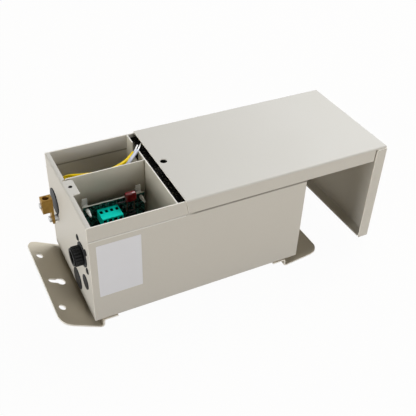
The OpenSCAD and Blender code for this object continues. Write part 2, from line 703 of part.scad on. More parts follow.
module earth_lug() color([0.72, 0.53, 0.20]) difference() {
  union() {
    block([lug_x - tongue_t, lug_at[0] - lug_w / 2, lug_low_z],
          [lug_x, lug_at[0] + lug_w / 2, lug_block_z + tiny]);
    block([lug_x - lug_block_d, lug_at[0] - lug_w / 2, lug_block_z],
          [lug_x, lug_at[0] + lug_w / 2, lug_block_z + lug_block_h]);
  }
  translate([lug_hole_x, lug_at[0], lug_block_z - 1]) cylinder(h = lug_block_h + 2, d = lug_hole_d);
  rod_x(lug_x - lug_block_d - 1, lug_block_d / 2 + 1, clamp_screw_d + 2 * screw_clear,
        [lug_at[0], clamp_screw_z]);
  rod_x(lug_x - tongue_t - 1, tongue_t + 2, lug_screw_d + 2 * screw_clear, lug_at);
}

module slotted_head(x, l, d, at) difference() {
  rod_x(x, l, d, at);
  block([x - 1, at[0] - d, at[1] - slot_w / 2], [x + slot_d, at[0] + d, at[1] + slot_w / 2]);
}

module lug_clamp_screw() color([0.78, 0.79, 0.80]) {
  slotted_head(lug_x - lug_block_d - clamp_head_t, clamp_head_t, clamp_head_d, [lug_at[0], clamp_screw_z]);
  rod_x(lug_x - lug_block_d, clamp_reach, clamp_screw_d, [lug_at[0], clamp_screw_z]);
}

module lug_mounting_screw() color([0.78, 0.79, 0.80]) {
  slotted_head(lug_x - tongue_t - lug_head_t, lug_head_t, lug_head_d, lug_at);
  rod_x(lug_x - tongue_t, tongue_t + lug_standoff + sheet + lug_nut_t + 1, lug_screw_d, lug_at);
}

module lug_spacer() color([0.74, 0.75, 0.76]) difference() {
  rod_x(lug_x, lug_standoff, lug_spacer_d, lug_at);
  rod_x(lug_x - 1, lug_standoff + 2, lug_screw_d + 2 * screw_clear, lug_at);
}

module lug_nut() color([0.74, 0.75, 0.76]) difference() {
  translate([x_left + sheet, lug_at[0], lug_at[1]]) rotate([0, 90, 0])
    cylinder(h = lug_nut_t, d = lug_nut_d, $fn = 6);
  rod_x(x_left, 2 * lug_nut_t + sheet, lug_screw_d + 2 * screw_clear, lug_at);
}

seal_t = 1;
ring_gap = 0.5;
lip_t = 1;
ring_end_play = 0.3;
ring_x = x_left - seal_t - ring_gap - ring_l;
barrel_x = ring_x - ring_end_play - lip_t;
barrel_wall = 1.5;
barrel_bore_d = barrel_d - 2 * barrel_wall;
barrel_in = 15;
flange_side = rivet_pitch + 9;
flange_t = 2;

module outlet_housing() color([0.07, 0.07, 0.08]) difference() {
  union() {
    rod_x(barrel_x, x_left + sheet + barrel_in - barrel_x, barrel_d, outlet_at);
    // Lip that keeps the coupling ring on
    rod_x(barrel_x, lip_t, barrel_d + 1.6, outlet_at);
    along_x(x_left + sheet, flange_t) translate(outlet_at) square(flange_side, center = true);
  }
  rod_x(barrel_x - 1, 2 * barrel_in + ring_l, barrel_bore_d, outlet_at);
  rivet_places() rod_x(x_left, 2 * flange_t + sheet, rivet_d + 2 * screw_clear, [0, 0]);
}

pin_d = 2;
pin_ring_r = 4.1;
pin_out = 3;
pin_in = 3.5;
pin_places = [for (i = [0:3]) pin_ring_r * [cos(45 + 90 * i), sin(45 + 90 * i)]];
socket_d = 6.3;
insert_x = barrel_x + socket_d;
insert_end = x_left + sheet + barrel_in;

module outlet_insert() color([0.10, 0.10, 0.11]) difference() {
  rod_x(insert_x, insert_end - insert_x, barrel_bore_d, outlet_at);
  for (p = pin_places) rod_x(insert_x - 1, insert_end - insert_x + 2, pin_d, outlet_at + p);
}

module outlet_pins() color([0.80, 0.66, 0.32]) for (p = pin_places)
  rod_x(barrel_x + pin_in, insert_end + pin_out - barrel_x - pin_in, pin_d, outlet_at + p);

module outlet_seal() color([0.05, 0.05, 0.05]) difference() {
  rod_x(x_left - seal_t, seal_t, seal_d, outlet_at);
  rod_x(x_left - seal_t - 1, seal_t + 2, barrel_d + 2 * panel_hole_clear, outlet_at);
}

rivet_head_t = 1.2;
rivet_tail_t = 1;

module outlet_rivets() color([0.08, 0.08, 0.09]) rivet_places() {
  rod_x(x_left - rivet_head_t, rivet_head_t, rivet_head_d, [0, 0]);
  rod_x(x_left, sheet + flange_t, rivet_d, [0, 0]);
  rod_x(x_left + sheet + flange_t, rivet_tail_t, rivet_head_d - 0.6, [0, 0]);
}

rib_d = 1.8;

module coupling_ring() color([0.06, 0.06, 0.07]) difference() {
  union() {
    rod_x(ring_x, ring_l, ring_d - 1.2, outlet_at);
    for (i = [0:ring_ribs - 1]) {
      a = 360 * i / ring_ribs;
      rod_x(ring_x, ring_l, rib_d, outlet_at + (ring_d - rib_d) / 2 * [cos(a), sin(a)]);
    }
  }
  rod_x(ring_x - 1, ring_l + 2, barrel_d + 2 * ring_clear, outlet_at);
}

// A snap-in plug: a cap outside the end panel and a hollow neck through its hole
module plug(d, at) {
  neck_d = d - 2 * (plug_neck_in + panel_hole_clear);
  rod_x(x_left - plug_cap_t, plug_cap_t, d, at);
  difference() {
    rod_x(x_left - tiny, plug_neck_l, neck_d, at);
    rod_x(x_left, plug_neck_l + 1, neck_d - 2 * plug_neck_wall, at);
  }
}

module wide_hole_plug() color([0.30, 0.31, 0.32]) plug(wide_plug_d, wide_plug_at);

module middle_hole_plug() color([0.10, 0.10, 0.10]) plug(middle_plug_d, middle_plug_at);

module narrow_hole_plug() color([0.10, 0.10, 0.10]) plug(narrow_plug_d, narrow_plug_at);

module blank_label() color([0.80, 0.80, 0.85])
  block([x_left + label_at[0], -hw - label_t, label_at[1]],
        [x_left + label_at[0] + label_l, -hw, label_at[1] + label_h]);

enclosure_shell();
left_end_panel();
right_end_panel();
divider();
transformer_wall();
left_bracket();
right_bracket();
front_cover();
potting();
transformer_core();
primary_winding();
secondary_winding();
lead_bushings();
yellow_lead();
white_lead();
stripped_ends();
circuit_board();
board_standoffs();
terminal_block();
terminal_screws();
terminal_contacts();
film_capacitor();
film_capacitor_legs();
board_resistors();
electrolytic_capacitors();
bridge_rectifier();
earth_lug();
lug_clamp_screw();
lug_mounting_screw();
lug_spacer();
lug_nut();
outlet_housing();
outlet_insert();
outlet_pins();
outlet_seal();
outlet_rivets();
coupling_ring();
wide_hole_plug();
middle_hole_plug();
narrow_hole_plug();
blank_label();
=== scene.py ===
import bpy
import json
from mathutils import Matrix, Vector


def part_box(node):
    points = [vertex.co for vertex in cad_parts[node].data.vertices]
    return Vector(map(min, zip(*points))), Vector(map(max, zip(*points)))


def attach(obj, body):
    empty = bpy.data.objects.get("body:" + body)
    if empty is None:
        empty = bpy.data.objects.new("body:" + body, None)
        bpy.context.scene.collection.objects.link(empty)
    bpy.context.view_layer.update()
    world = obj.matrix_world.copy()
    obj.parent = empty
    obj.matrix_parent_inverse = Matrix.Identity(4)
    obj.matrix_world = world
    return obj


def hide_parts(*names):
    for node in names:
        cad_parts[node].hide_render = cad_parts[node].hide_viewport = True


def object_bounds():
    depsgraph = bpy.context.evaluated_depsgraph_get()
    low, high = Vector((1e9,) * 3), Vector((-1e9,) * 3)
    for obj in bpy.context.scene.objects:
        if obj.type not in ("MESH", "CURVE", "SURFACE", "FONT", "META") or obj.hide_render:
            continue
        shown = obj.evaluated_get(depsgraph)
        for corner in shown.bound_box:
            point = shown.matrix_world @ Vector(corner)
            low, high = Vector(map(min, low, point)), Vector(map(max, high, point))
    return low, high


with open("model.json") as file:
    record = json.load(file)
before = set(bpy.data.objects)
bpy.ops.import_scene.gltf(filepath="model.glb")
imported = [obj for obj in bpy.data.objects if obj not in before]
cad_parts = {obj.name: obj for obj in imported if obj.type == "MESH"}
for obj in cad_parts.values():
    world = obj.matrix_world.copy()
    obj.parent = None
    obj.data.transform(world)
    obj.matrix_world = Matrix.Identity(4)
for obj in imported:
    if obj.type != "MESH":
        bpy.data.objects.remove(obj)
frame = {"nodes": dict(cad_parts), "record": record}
cadBox = [[float(v) for v in corner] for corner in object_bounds()]

import json

import bpy
import bmesh
import numpy as np
from mathutils import Matrix

mm = 0.001  # shapes are worked out in millimetres and written in metres
scene = bpy.context.scene
scene.view_settings.view_transform = "Standard"


def corners(node):  # lowest and highest corner of a CAD node, in millimetres
    low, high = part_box(node)
    return np.array(low) / mm, np.array(high) / mm


shellLow, shellHigh = corners("enclosure_shell")
halfWide, rimTop = shellHigh[1:]


def unit(v):  # vectors brought to length 1
    return v / np.linalg.norm(v, axis=-1, keepdims=True)


def stand(name, data, at, back, up):
    # an object whose own z axis looks along back and whose y axis leans towards up
    back = unit(np.array(back))
    side = unit(np.cross(up, back))
    axes = np.eye(4)
    axes[:3] = np.column_stack([side, np.cross(back, side), back, at])
    item = bpy.data.objects.new(name, data)
    item.matrix_world = Matrix(axes.tolist())
    scene.collection.objects.link(item)
    return item


# ---- camera

camera = {
    "place": (-216.08, -474.03, 466.22),
    "forward": (0.368816, 0.692520, -0.619993),
    "down": (-0.254366, -0.566358, -0.783924),
    "lens": 57.62,
}


def addCamera():
    data = bpy.data.cameras.new("camera")
    data.lens, data.clip_start, data.clip_end = camera["lens"], 0.01, 20
    place = np.array(camera["place"]) * mm
    scene.camera = stand("camera", data, place, -np.array(camera["forward"]), -np.array(camera["down"]))


addCamera()


# ---- shapes

def gridFaces(rows, columns, wrap=False):
    # quads between neighbouring rows of points; wrap joins the last column to the first
    i = np.arange(rows - 1)[:, None] * columns
    j = np.arange(columns if wrap else columns - 1)
    k = (j + 1) % columns
    return np.stack([i + j, i + k, i + columns + k, i + columns + j], -1).reshape(-1, 4)


def spread(*coordinates):  # points from coordinates whose shapes broadcast together
    return np.stack(np.broadcast_arrays(*coordinates), -1)


def sheetOf(x, y, z):
    # an open surface through a grid of points, rows by columns
    points = spread(x, y, z)
    return points.reshape(-1, 3), gridFaces(*points.shape[:2])


def loft(rings, closed=False):
    # a closed skin through a stack of rings of points; closed joins the last ring to the first,
    # and otherwise both ends get a flat cap
    m, n = rings.shape[:2]
    if closed:
        rings = np.concatenate([rings, rings[:1]])
        return rings.reshape(-1, 3), gridFaces(m + 1, n, True)
    last = np.arange((m - 1) * n, m * n)
    return rings.reshape(-1, 3), [gridFaces(m, n, True), np.arange(n)[None, ::-1], last[None]]


def bent(corner, radius, steps=6):
    # a line through corners whose turns are arcs: from each corner the arc's ends lie
    # radius / tan(half the inner angle) away, and its points, one more than steps, turn evenly
    # about its centre
    corner = np.array(corner, float)
    radius = np.broadcast_to(radius, len(corner) - 2)
    share = np.linspace(0, 1, steps + 1)[:, None]
    points = [corner[:1]]
    for before, at, after, r in zip(corner, corner[1:], corner[2:], radius):
        a, b = unit(before - at), unit(after - at)
        half = np.arccos(np.clip(a @ b, -1, 1)) / 2
        centre = at + unit(a + b) * r / np.sin(half)
        start, end = (at + way * r / np.tan(half) - centre for way in (a, b))
        angle = np.pi - 2 * half
        swept = np.sin((1 - share) * angle) * start + np.sin(share * angle) * end
        points.append(centre + swept / np.sin(angle))
    return np.concatenate(points + [corner[-1:]])


def arc(x, y, r, start, end, steps=4):  # points of an arc about (x, y), from one angle to another
    turn = np.radians(np.linspace(start, end, steps + 1))
    return list(zip(x + r * np.cos(turn), y + r * np.sin(turn)))


def runLength(line):  # distance of each point of a line from its start, along it
    return np.concatenate([[0], np.cumsum(np.linalg.norm(np.diff(line, axis=0), axis=1))])


def along(line, s):  # the points at distances s along a line
    length = runLength(line)
    return np.stack([np.interp(s, length, column) for column in line.T], -1)


def lines(*stops):
    # grid lines: each stop after the first is (end, how many cells lead to it)
    out = [stops[0]]
    for end, cells in stops[1:]:
        out.extend(np.linspace(out[-1], end, cells + 1)[1:])
    return np.array(out)


def blank(us, vs, keep=None, holes=()):
    # a flat sheet on the lines us by vs, of the cells that keep(u, v) allows at their middles. Each
    # hole is (u, v, half its window in u, and in v, outline): the cells in the window give way to
    # rings of quads between the window's edge and the outline's points, evenly spread
    us, vs = np.array(us, float), np.array(vs, float)
    points = spread(us[:, None], vs).reshape(-1, 2)
    index = np.arange(len(points)).reshape(len(us), len(vs))
    faces = gridFaces(*index.shape)
    middle = points[faces].mean(1)
    stay = np.ones(len(faces), bool) if keep is None else keep(*middle.T)
    extra, quads, count = [], [], len(points)
    share = np.array([0.35, 0.7, 1])[:, None, None]
    for u, v, halfU, halfV, outline in holes:
        stay &= (np.abs(middle - [u, v]) > [halfU, halfV]).any(1)
        i0, i1 = (np.abs(us - end).argmin() for end in (u - halfU, u + halfU))
        j0, j1 = (np.abs(vs - end).argmin() for end in (v - halfV, v + halfV))
        edge = np.concatenate([index[i0:i1, j0], index[i1, j0:j1], index[i1:i0:-1, j1], index[i0, j1:j0:-1]])
        extra.append(((1 - share) * points[edge] + share * outline(points[edge])).reshape(-1, 2))
        ring = np.concatenate([edge, count + np.arange(3 * len(edge))])
        quads.append(ring[gridFaces(4, len(edge), True)][:, ::-1])
        count += 3 * len(edge)
    return np.concatenate([points] + extra), np.concatenate([faces[stay]] + quads)


def roundHole(u, v, d):  # the window's edge moves towards the middle until it lies on the circle
    return lambda edge: [u, v] + unit(edge - [u, v]) * d / 2


def facing(part, inside):
    # the same faces, turned if most of their area looks towards a point inside
    points, faces = part
    quad = points[faces]
    area = np.cross(quad[:, 2] - quad[:, 0], quad[:, 3] - quad[:, 1])
    return points, faces[:, ::-1] if (area * (quad.mean(1) - inside)).sum() < 0 else faces


def circle(n):
    turn = np.arange(n) * 2 * np.pi / n
    return spread(np.cos(turn), np.sin(turn))


def roundedRectangle(a, b, r, steps=5):
    # outline of a rectangle of sides a and b about the origin: quarter circles at its corners
    turn = np.linspace(0, np.pi / 2, steps + 1) + np.arange(4)[:, None] * np.pi / 2
    middle = np.array([[1, 1], [-1, 1], [-1, -1], [1, -1]]) * [a / 2 - r, b / 2 - r]
    return (middle[:, None] + r * spread(np.cos(turn), np.sin(turn))).reshape(-1, 2)


def extruded(outline, low, high, r=0.25, axis=2, steps=3):
    # an outline carried from low to high along an axis; near both ends it draws in along its own
    # normals as a quarter circle of radius r does, which rounds the edges
    following, previous = np.roll(outline, -1, 0), np.roll(outline, 1, 0)
    ahead, behind = (unit(way)[:, ::-1] * [1, -1] for way in (following - outline, outline - previous))
    normal = (ahead + behind) / np.maximum(1 + (ahead * behind).sum(1), 0.3)[:, None]
    normal *= np.sign((outline[:, 0] * following[:, 1] - outline[:, 1] * following[:, 0]).sum())
    turn = np.linspace(0, np.pi / 2, steps + 1)
    inset, rise = r * (1 - np.sin(turn)), r * (1 - np.cos(turn))
    inset, height = np.concatenate([inset, inset[::-1]]), np.concatenate([low + rise, (high - rise)[::-1]])
    return loft(np.insert(outline - normal * inset[:, None, None], axis, height[:, None], axis=2))


def roundedBlock(low, high, r):
    # a block between two corners with rounded upright edges and rounded rims
    low, high = np.array(low, float), np.array(high, float)
    size, middle = high - low, (low + high) / 2
    return extruded(roundedRectangle(size[0], size[1], r) + middle[:2], low[2], high[2], r)


def lathe(profile, centre, axis=0, n=48, closed=False):
    # a profile of (distance along the axis, radius) turned about an axis through centre
    reach, radius = np.array(profile, float).T[:, :, None]
    rings = np.insert(np.maximum(radius, 0.01)[:, :, None] * circle(n), axis, reach, axis=2)
    return loft(rings + np.array(centre, float), closed)


def smoothLine(points, spacing):
    # a curve through all the points: a cubic between neighbours whose slopes come from the
    # points on either side, read off at even distances
    p = np.array(points, float)
    p = np.concatenate([[2 * p[0] - p[1]], p, [2 * p[-1] - p[-2]]])
    t = np.linspace(0, 1, 12, endpoint=False)[None, :, None]
    a, b, c, d = (p[k:len(p) - 3 + k, None] for k in range(4))
    cubic = b + ((c - a) * t + (2 * a - 5 * b + 4 * c - d) * t ** 2 + (3 * b - a - 3 * c + d) * t ** 3) / 2
    fine = np.concatenate([cubic.reshape(-1, 3), p[-2:-1]])
    length = runLength(fine)[-1]
    return along(fine, np.linspace(0, length, max(int(length / spacing), 2) + 1))


def frameAlong(line):
    # two directions across a line at each of its points, carried along it without twisting
    way = unit(np.gradient(line, axis=0))
    side = np.zeros_like(way)
    side[0] = unit(np.cross(way[0], [0.3, 1, 0.2]))
    for i in range(1, len(line)):
        side[i] = unit(side[i - 1] - way[i] * (side[i - 1] @ way[i]))
    return side, np.cross(way, side)


def tube(line, radius, n=16):  # circles set square to a line at each of its points
    side, up = frameAlong(line)
    flat = circle(n)[:, :, None]
    return loft(line[:, None] + radius * (flat[:, 0] * side[:, None] + flat[:, 1] * up[:, None]))


def slotOf(node):  # the record's material slot of a node
    return next(row["material_slot"] for row in frame["record"]["subparts"] if row["node"] == node)


def roundEdges(item, width):
    bevel = item.modifiers.new("edges", "BEVEL")
    bevel.width, bevel.segments = width * mm, 2
    bevel.limit_method, bevel.angle_limit = "ANGLE", np.radians(40)
    bevel.harden_normals = True


def piece(name, parts, node=None, body="box", thick=0.0, edge=0.0, smooth=30, material=None, slot=None):
    # one mesh from its parts, each of which is points and an array or a list of arrays of faces, with
    # doubled points merged; thick makes an open sheet that thick on its inner side, and edge rounds
    # its sharp edges. It stands for the CAD node that it names
    points, faces, count = [], [], 0
    for skin, groups in parts:
        points.append(skin)
        for group in groups if isinstance(groups, list) else [groups]:
            faces.extend((group + count).tolist())
        count += len(skin)
    mesh = bpy.data.meshes.new(name)
    mesh.from_pydata((np.concatenate(points) * mm).tolist(), [], faces)
    work = bmesh.new()
    work.from_mesh(mesh)
    bmesh.ops.remove_doubles(work, verts=work.verts, dist=0.01 * mm)
    bmesh.ops.dissolve_degenerate(work, edges=work.edges, dist=0.002 * mm)
    bmesh.ops.delete(work, geom=[v for v in work.verts if not v.link_faces], context="VERTS")
    if not thick:
        bmesh.ops.recalc_face_normals(work, faces=work.faces)
    work.to_mesh(mesh)
    work.free()
    item = bpy.data.objects.new(name, mesh)
    scene.collection.objects.link(item)
    mesh.shade_smooth()
    mesh.set_sharp_from_angle(angle=np.radians(smooth))
    slot = slot or slotOf(node)
    mesh.materials.append(material or finishes[slot])
    if thick:
        # the cut edges take a lighter coat, a painted highlight
        mesh.materials.append(edgePaint)  # for the cut edges
        wall = item.modifiers.new("wall", "SOLIDIFY")
        wall.thickness, wall.offset, wall.use_even_offset = thick * mm, -1, True
        wall.material_offset_rim = 1
    if edge:
        roundEdges(item, edge)
    item.modifiers.new("flat", "WEIGHTED_NORMAL").keep_sharp = True  # folds don't shade flat faces
    if node:
        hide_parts(node)
    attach(item, body)
    return item


# ---- finishes

class Value:
    # one output socket; arithmetic on it adds the Math nodes that work it out
    def __init__(self, net, socket):
        self.net, self.socket = net, socket

    def math(self, operation, first, second=0.0):
        return self.net.node("Math", {"operation": operation}, {0: first, 1: second})

    def __add__(self, other):
        return self.math("ADD", self, other)

    def __sub__(self, other):
        return self.math("SUBTRACT", self, other)

    def __rsub__(self, other):
        return self.math("SUBTRACT", other, self)

    def __mul__(self, other):
        return self.math("MULTIPLY", self, other)

    def __gt__(self, other):
        return self.math("GREATER_THAN", self, other)

    def __lt__(self, other):
        return self.math("LESS_THAN", self, other)

    def __abs__(self):
        return self.math("ABSOLUTE", self)

    __radd__, __rmul__ = __add__, __mul__


class Net:
    # a tree of nodes: node() adds any of them, with its settings first and then its sockets
    def __init__(self, tree):
        self.tree = tree

    def node(self, kind, settings=None, inputs=None, out=0):
        made = self.tree.nodes.new("ShaderNode" + kind)
        for key, value in (settings or {}).items():
            setattr(made, key, value)
        for key, value in (inputs or {}).items():
            self.join(made.inputs[key], value)
        return Value(self, made.outputs[out]) if made.outputs else made

    def join(self, socket, value):
        if isinstance(value, Value):
            self.tree.links.new(value.socket, socket)
        else:
            socket.default_value = value


class Finish(Net):
    # a material, whose surface shader's sockets feed() sets or links
    def __init__(self, name, **fixed):
        words = name.split("_")  # a slot's name is joined in camel case
        self.material = bpy.data.materials.new(words[0] + "".join(word.title() for word in words[1:]))
        self.material.use_nodes = True
        super().__init__(self.material.node_tree)
        self.shader = self.tree.nodes["Principled BSDF"]
        self.at = self.node("TexCoord", out="Object")  # where a point is on the object, in metres
        self.feed(**fixed)

    def feed(self, **values):
        for key, value in values.items():
            self.join(self.shader.inputs[key.replace("_", " ")], value)
        return self.material

    def axis(self, k, of=None):  # one coordinate of a point
        return self.node("SeparateXYZ", {}, {0: of or self.at}, k)

    def noise(self, scale, detail, rough, at=None):
        return self.node("TexNoise", {}, {
            "Vector": at or self.at, "Scale": scale, "Detail": detail, "Roughness": rough}, "Fac")

    def stretched(self, scale, turned=(0, 0, 0)):
        return self.node("Mapping", {}, {"Vector": self.at, "Rotation": turned, "Scale": scale})

    def cells(self, scale, at, out):
        return self.node("TexVoronoi", {}, {"Vector": at, "Scale": scale}, out)

    def ramp(self, value, zero, one):  # 0 at one value, 1 at another, and no less or more beyond
        return self.node("MapRange", {}, {0: value, 1: zero, 2: one})

    def blend(self, share, first, second):  # first where share is 0, second where it is 1
        first, second = (c if isinstance(c, Value) else (*c, 1) for c in (first, second))
        return self.node("Mix", {"data_type": "RGBA"}, {0: share, 6: first, 7: second}, 2)

    def bump(self, height, strength, distance, after=None):
        inputs = {"Height": height, "Strength": strength, "Distance": distance}
        if after:
            inputs["Normal"] = after
        return self.node("Bump", {}, inputs)


paint = {
    "colour": (0.628, 0.604, 0.558), "tint": (0.612, 0.585, 0.530), "gloss": 0.44,
    "peel": 700, "grain": 3500, "speck": 1400,
    # painted highlight: how much lighter the coat of the cut edges is
    "edge": 1.42,  # how much lighter the cut edges are
    # painted shade: the brackets' coat is darker and warmer than the box's, for the shade the box casts on
    # the ears
    "brackets": (0.95, 0.90, 0.79),  # the brackets' coat against the box's
    # painted shade: the inner walls' coat is made warmer, like the shade in the bay
    "inside": (1.0, 0.985, 0.91),  # and that of the two inner walls
    # the pale colour is a painted highlight on the joggle's ledge, the dark one painted shadow and shade
    # along the joggle
    "rubbed": (0.86, 0.85, 0.82), "dirt": (0.13, 0.12, 0.095), "skin": 1.05,
    # painted highlight and shade as lines on a joggle: depth below the rim's top, half height, where it fades
    # out, strength, colour
    # a painted highlight where the outer ledge faces the light
    "lines": ((15.25, 0.3, 0.6, 0.8, "rubbed"),  # outside, left of the cover
              # a painted shadow that the cover's skirt casts on the ledge
              (15.1, 0.4, 0.9, 0.6, "dirt"),  # outside, under the cover's edge
              # painted shade under the inner step
              (16.6, 0.3, 1.2, 0.65, "dirt")),  # inside
}


def powderCoat(name, gain=1.0, joggled=False, paintedHighlightAbove=None):
    # satin powder coat: fine peel, a slow drift of colour, dark specks, and faint rubbed streaks;
    # a joggled wall gets a painted highlight along its outer ledge, a painted shadow under the cover's edge,
    # and painted shade under its inner step
    f = Finish(name, Specular_IOR_Level=0.42)
    slow = f.noise(9, 3, 0.55)
    peel, grain = f.noise(paint["peel"], 2, 0.5), f.noise(paint["grain"], 1, 0.5)
    speck = f.noise(paint["speck"], 0, 0.5) > 0.74
    streaks = f.ramp(f.noise(1, 4, 0.7, f.stretched((40, 700, 700), (0.3, 0.2, 0.5))), 0.62, 0.78)
    rubbed = streaks * f.ramp(f.noise(26, 3, 0.6), 0.5, 0.72)
    coat = f.blend(slow, np.multiply(paint["colour"], gain), np.multiply(paint["tint"], gain))
    coat = f.blend(speck * 0.06, coat, (0.30, 0.28, 0.24))
    coat = f.blend(rubbed * 0.16, coat, (0.80, 0.80, 0.79))
    # painted highlight and shade along the joggle's lines
    if joggled:
        x, y, z = (f.axis(k) for k in range(3))
        outside = abs(y) > float(halfWide - paint["skin"]) * mm
        coverEdge = float(corners("front_cover")[0][0])
        bare, covered = x < coverEdge * mm, f.ramp(x, (coverEdge + 3) * mm, (coverEdge + 9) * mm)
        where = (outside * bare, outside * covered, 1 - outside)
        for place, (below, core, fade, share, colour) in zip(where, paint["lines"]):
            band = f.ramp(abs(z - float(rimTop - below) * mm), fade * mm, core * mm)
            coat = f.blend(band * place * share, coat, paint[colour])
    # a painted highlight along the cut edge at the top
    if paintedHighlightAbove:  # a cut edge along the top
        coat = f.blend(f.axis(2) > float(paintedHighlightAbove) * mm, coat, np.multiply(paint["colour"], paint["edge"]))
    return f.feed(Base_Color=coat, Roughness=paint["gloss"] + 0.10 * slow + 0.05 * grain + 0.14 * rubbed,
                  Normal=f.bump(peel, 0.22, 0.00008, f.bump(grain, 0.12, 0.00004)))


def mouldedPlastic(name, colour, second, rough, texture=900, bump=0.15, **fixed):
    # moulded plastic: a fine spark texture, and faint flow marks
    f = Finish(name, **fixed)
    spark = f.noise(texture, 2, 0.6)
    return f.feed(Base_Color=f.blend(f.noise(60, 3, 0.6), colour, second), Roughness=rough + 0.16 * spark,
                  Normal=f.bump(spark, bump, 0.00005))


def machinedMetal(name, colour, second, rough, scratch=(900, 900, 90), metallic=1.0):
    # bright metal: long scratches from noise stretched along one axis, and dull tarnish patches
    f = Finish(name, Metallic=metallic)
    marks = f.noise(1, 3, 0.7, f.stretched(scratch))
    tarnish = f.noise(220, 4, 0.65)
    return f.feed(Base_Color=f.blend(tarnish, colour, second),
                  Roughness=rough + 0.22 * marks + 0.12 * tarnish, Normal=f.bump(marks, 0.2, 0.00003))


def pottingCompound(name):
    # black cast compound: coarse sand with a few pale grains and glossier resin between them
    f = Finish(name, Specular_IOR_Level=0.08)
    sand = f.noise(900, 4, 0.7)
    pale = f.ramp(f.node("SeparateColor", {}, {0: f.cells(950.0, f.at, "Color")}), 0.86, 1.0)
    base = f.blend(sand, (0.0008, 0.0008, 0.0009), (0.0075, 0.0072, 0.0062))
    return f.feed(Base_Color=f.blend(pale * 0.7, base, (0.30, 0.27, 0.19)), Roughness=0.62 + 0.3 * sand,
                  Normal=f.bump(sand + f.noise(260, 2, 0.5), 0.6, 0.0003))


def solderMask(name):
    # green lacquer over copper on both faces, and pale laminate round the edges whose paleness is partly a
    # painted highlight on the
    # top edge: tracks run along the joints of a brick pattern where a noise allows them, with pads at some
    # cells' middles
    f = Finish(name, Specular_IOR_Level=0.2, Coat_Weight=0.15, Coat_Roughness=0.15)
    flat = f.node("CombineXYZ", {}, {0: f.axis(0), 1: f.axis(2)})
    bricks = f.node("TexBrick", {"offset": 0.37, "squash": 0.6, "squash_frequency": 3}, {
        "Vector": flat, "Scale": 130.0, "Mortar Size": 0.045, "Brick Width": 0.62, "Row Height": 0.20}, "Fac")
    tracks = bricks * (f.noise(310, 1, 0.5, flat) > 0.50)
    chosen = f.node("SeparateColor", {}, {0: f.cells(300.0, flat, "Color")}) > 0.80
    pads = (f.cells(300.0, flat, "Distance") < 0.16) * chosen
    weave = f.noise(1800, 2, 0.5)
    mask = f.blend(weave, (0.0006, 0.010, 0.0075), (0.0015, 0.020, 0.015))
    face = f.blend(tracks * 0.9, mask, (0.055, 0.22, 0.18))
    face = f.blend(pads * 0.7, face, (0.26, 0.30, 0.28))
    # pale laminate on the edges, partly a painted highlight
    edge = abs(f.axis(1, f.node("TexCoord", out="Normal"))) < 0.5
    return f.feed(Base_Color=f.blend(edge, face, (0.80, 0.82, 0.74)),
                  Roughness=0.34 + 0.12 * weave + 0.3 * edge, Normal=f.bump(tracks + pads, 0.5, 0.00006))


def shadedBlockPlastic(name, node, colour, second):
    # moulded plastic with painted shade that darkens inwards: how deep a point lies inside the block's own
    # box
    f = Finish(name, Specular_IOR_Level=0.10)
    depth = None
    for k, (low, high) in enumerate(zip(*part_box(node))):
        for gap in (f.axis(k) - float(low), float(high) - f.axis(k)):
            depth = gap.math("MINIMUM", gap, depth) if depth else gap
    spark = f.noise(900, 2, 0.6)
    skin = f.blend(f.noise(70, 3, 0.6), colour, second)
    # painted shade, darkest deep inside the wells
    return f.feed(Base_Color=f.blend(f.ramp(depth, 0.0002, 0.0009) * 0.97, skin, (0.0, 0.012, 0.010)),
                  Roughness=0.34 + 0.16 * spark, Normal=f.bump(spark, 0.15, 0.00005))


def insulation(name, colour, second, shine=0.3):
    # drawn wire insulation: faint scuffs and handling marks on a satin skin
    f = Finish(name, Specular_IOR_Level=shine)
    scuff = f.noise(420, 4, 0.7)
    return f.feed(Base_Color=f.blend(f.noise(45, 2, 0.5), colour, second), Roughness=0.30 + 0.25 * scuff,
                  Normal=f.bump(scuff, 0.12, 0.00005))


# a lighter coat for the cut edges, a painted highlight
edgePaint = powderCoat("edgePaint", paint["edge"])
shellPaint = powderCoat("shellPaint", joggled=True)
# a darker, warmer coat for the brackets, painted shade
bracketPaint = powderCoat("bracketPaint", paint["brackets"])
# bare tapped steel made very dark, painted shade in the tab's hole
tappedSteel = machinedMetal("tappedSteel", (0.06, 0.055, 0.05), (0.03, 0.028, 0.025), 0.5)
dullLead = machinedMetal("dullLead", (0.30, 0.16, 0.09), (0.12, 0.10, 0.09), 0.35, (1500, 1500, 1500))
dullSolder = machinedMetal("dullSolder", (0.20, 0.22, 0.21), (0.10, 0.11, 0.10), 0.30, (1200, 1200, 1200))
# painted shade: a dark copy of plated steel for the screws down in the terminal wells
wellScrews = machinedMetal("wellScrews", (0.10, 0.10, 0.10), (0.06, 0.06, 0.06), 0.4)
metals = {  # colour, tarnish, roughness, the scratches' scales, how metallic
    "laminations": ((0.16, 0.16, 0.17), (0.09, 0.085, 0.08), 0.42, (90, 3500, 90), 0.8),
    "winding_wire": ((0.62, 0.28, 0.12), (0.50, 0.20, 0.08), 0.25, (90, 90, 2600), 0.9),
    "tinned_copper": ((0.78, 0.78, 0.78), (0.60, 0.58, 0.55), 0.22, (1500, 1500, 1500)),
    "zinc_plated_steel": ((0.66, 0.67, 0.68), (0.48, 0.48, 0.47), 0.24),
    "lug_brass": ((0.50, 0.31, 0.085), (0.24, 0.13, 0.03), 0.28, (140, 140, 1500)),
    # painted shade: the pins' brass is darkened because the socket round them lies in shade
    "pin_brass": ((0.22, 0.16, 0.07), (0.15, 0.10, 0.04), 0.30),
}
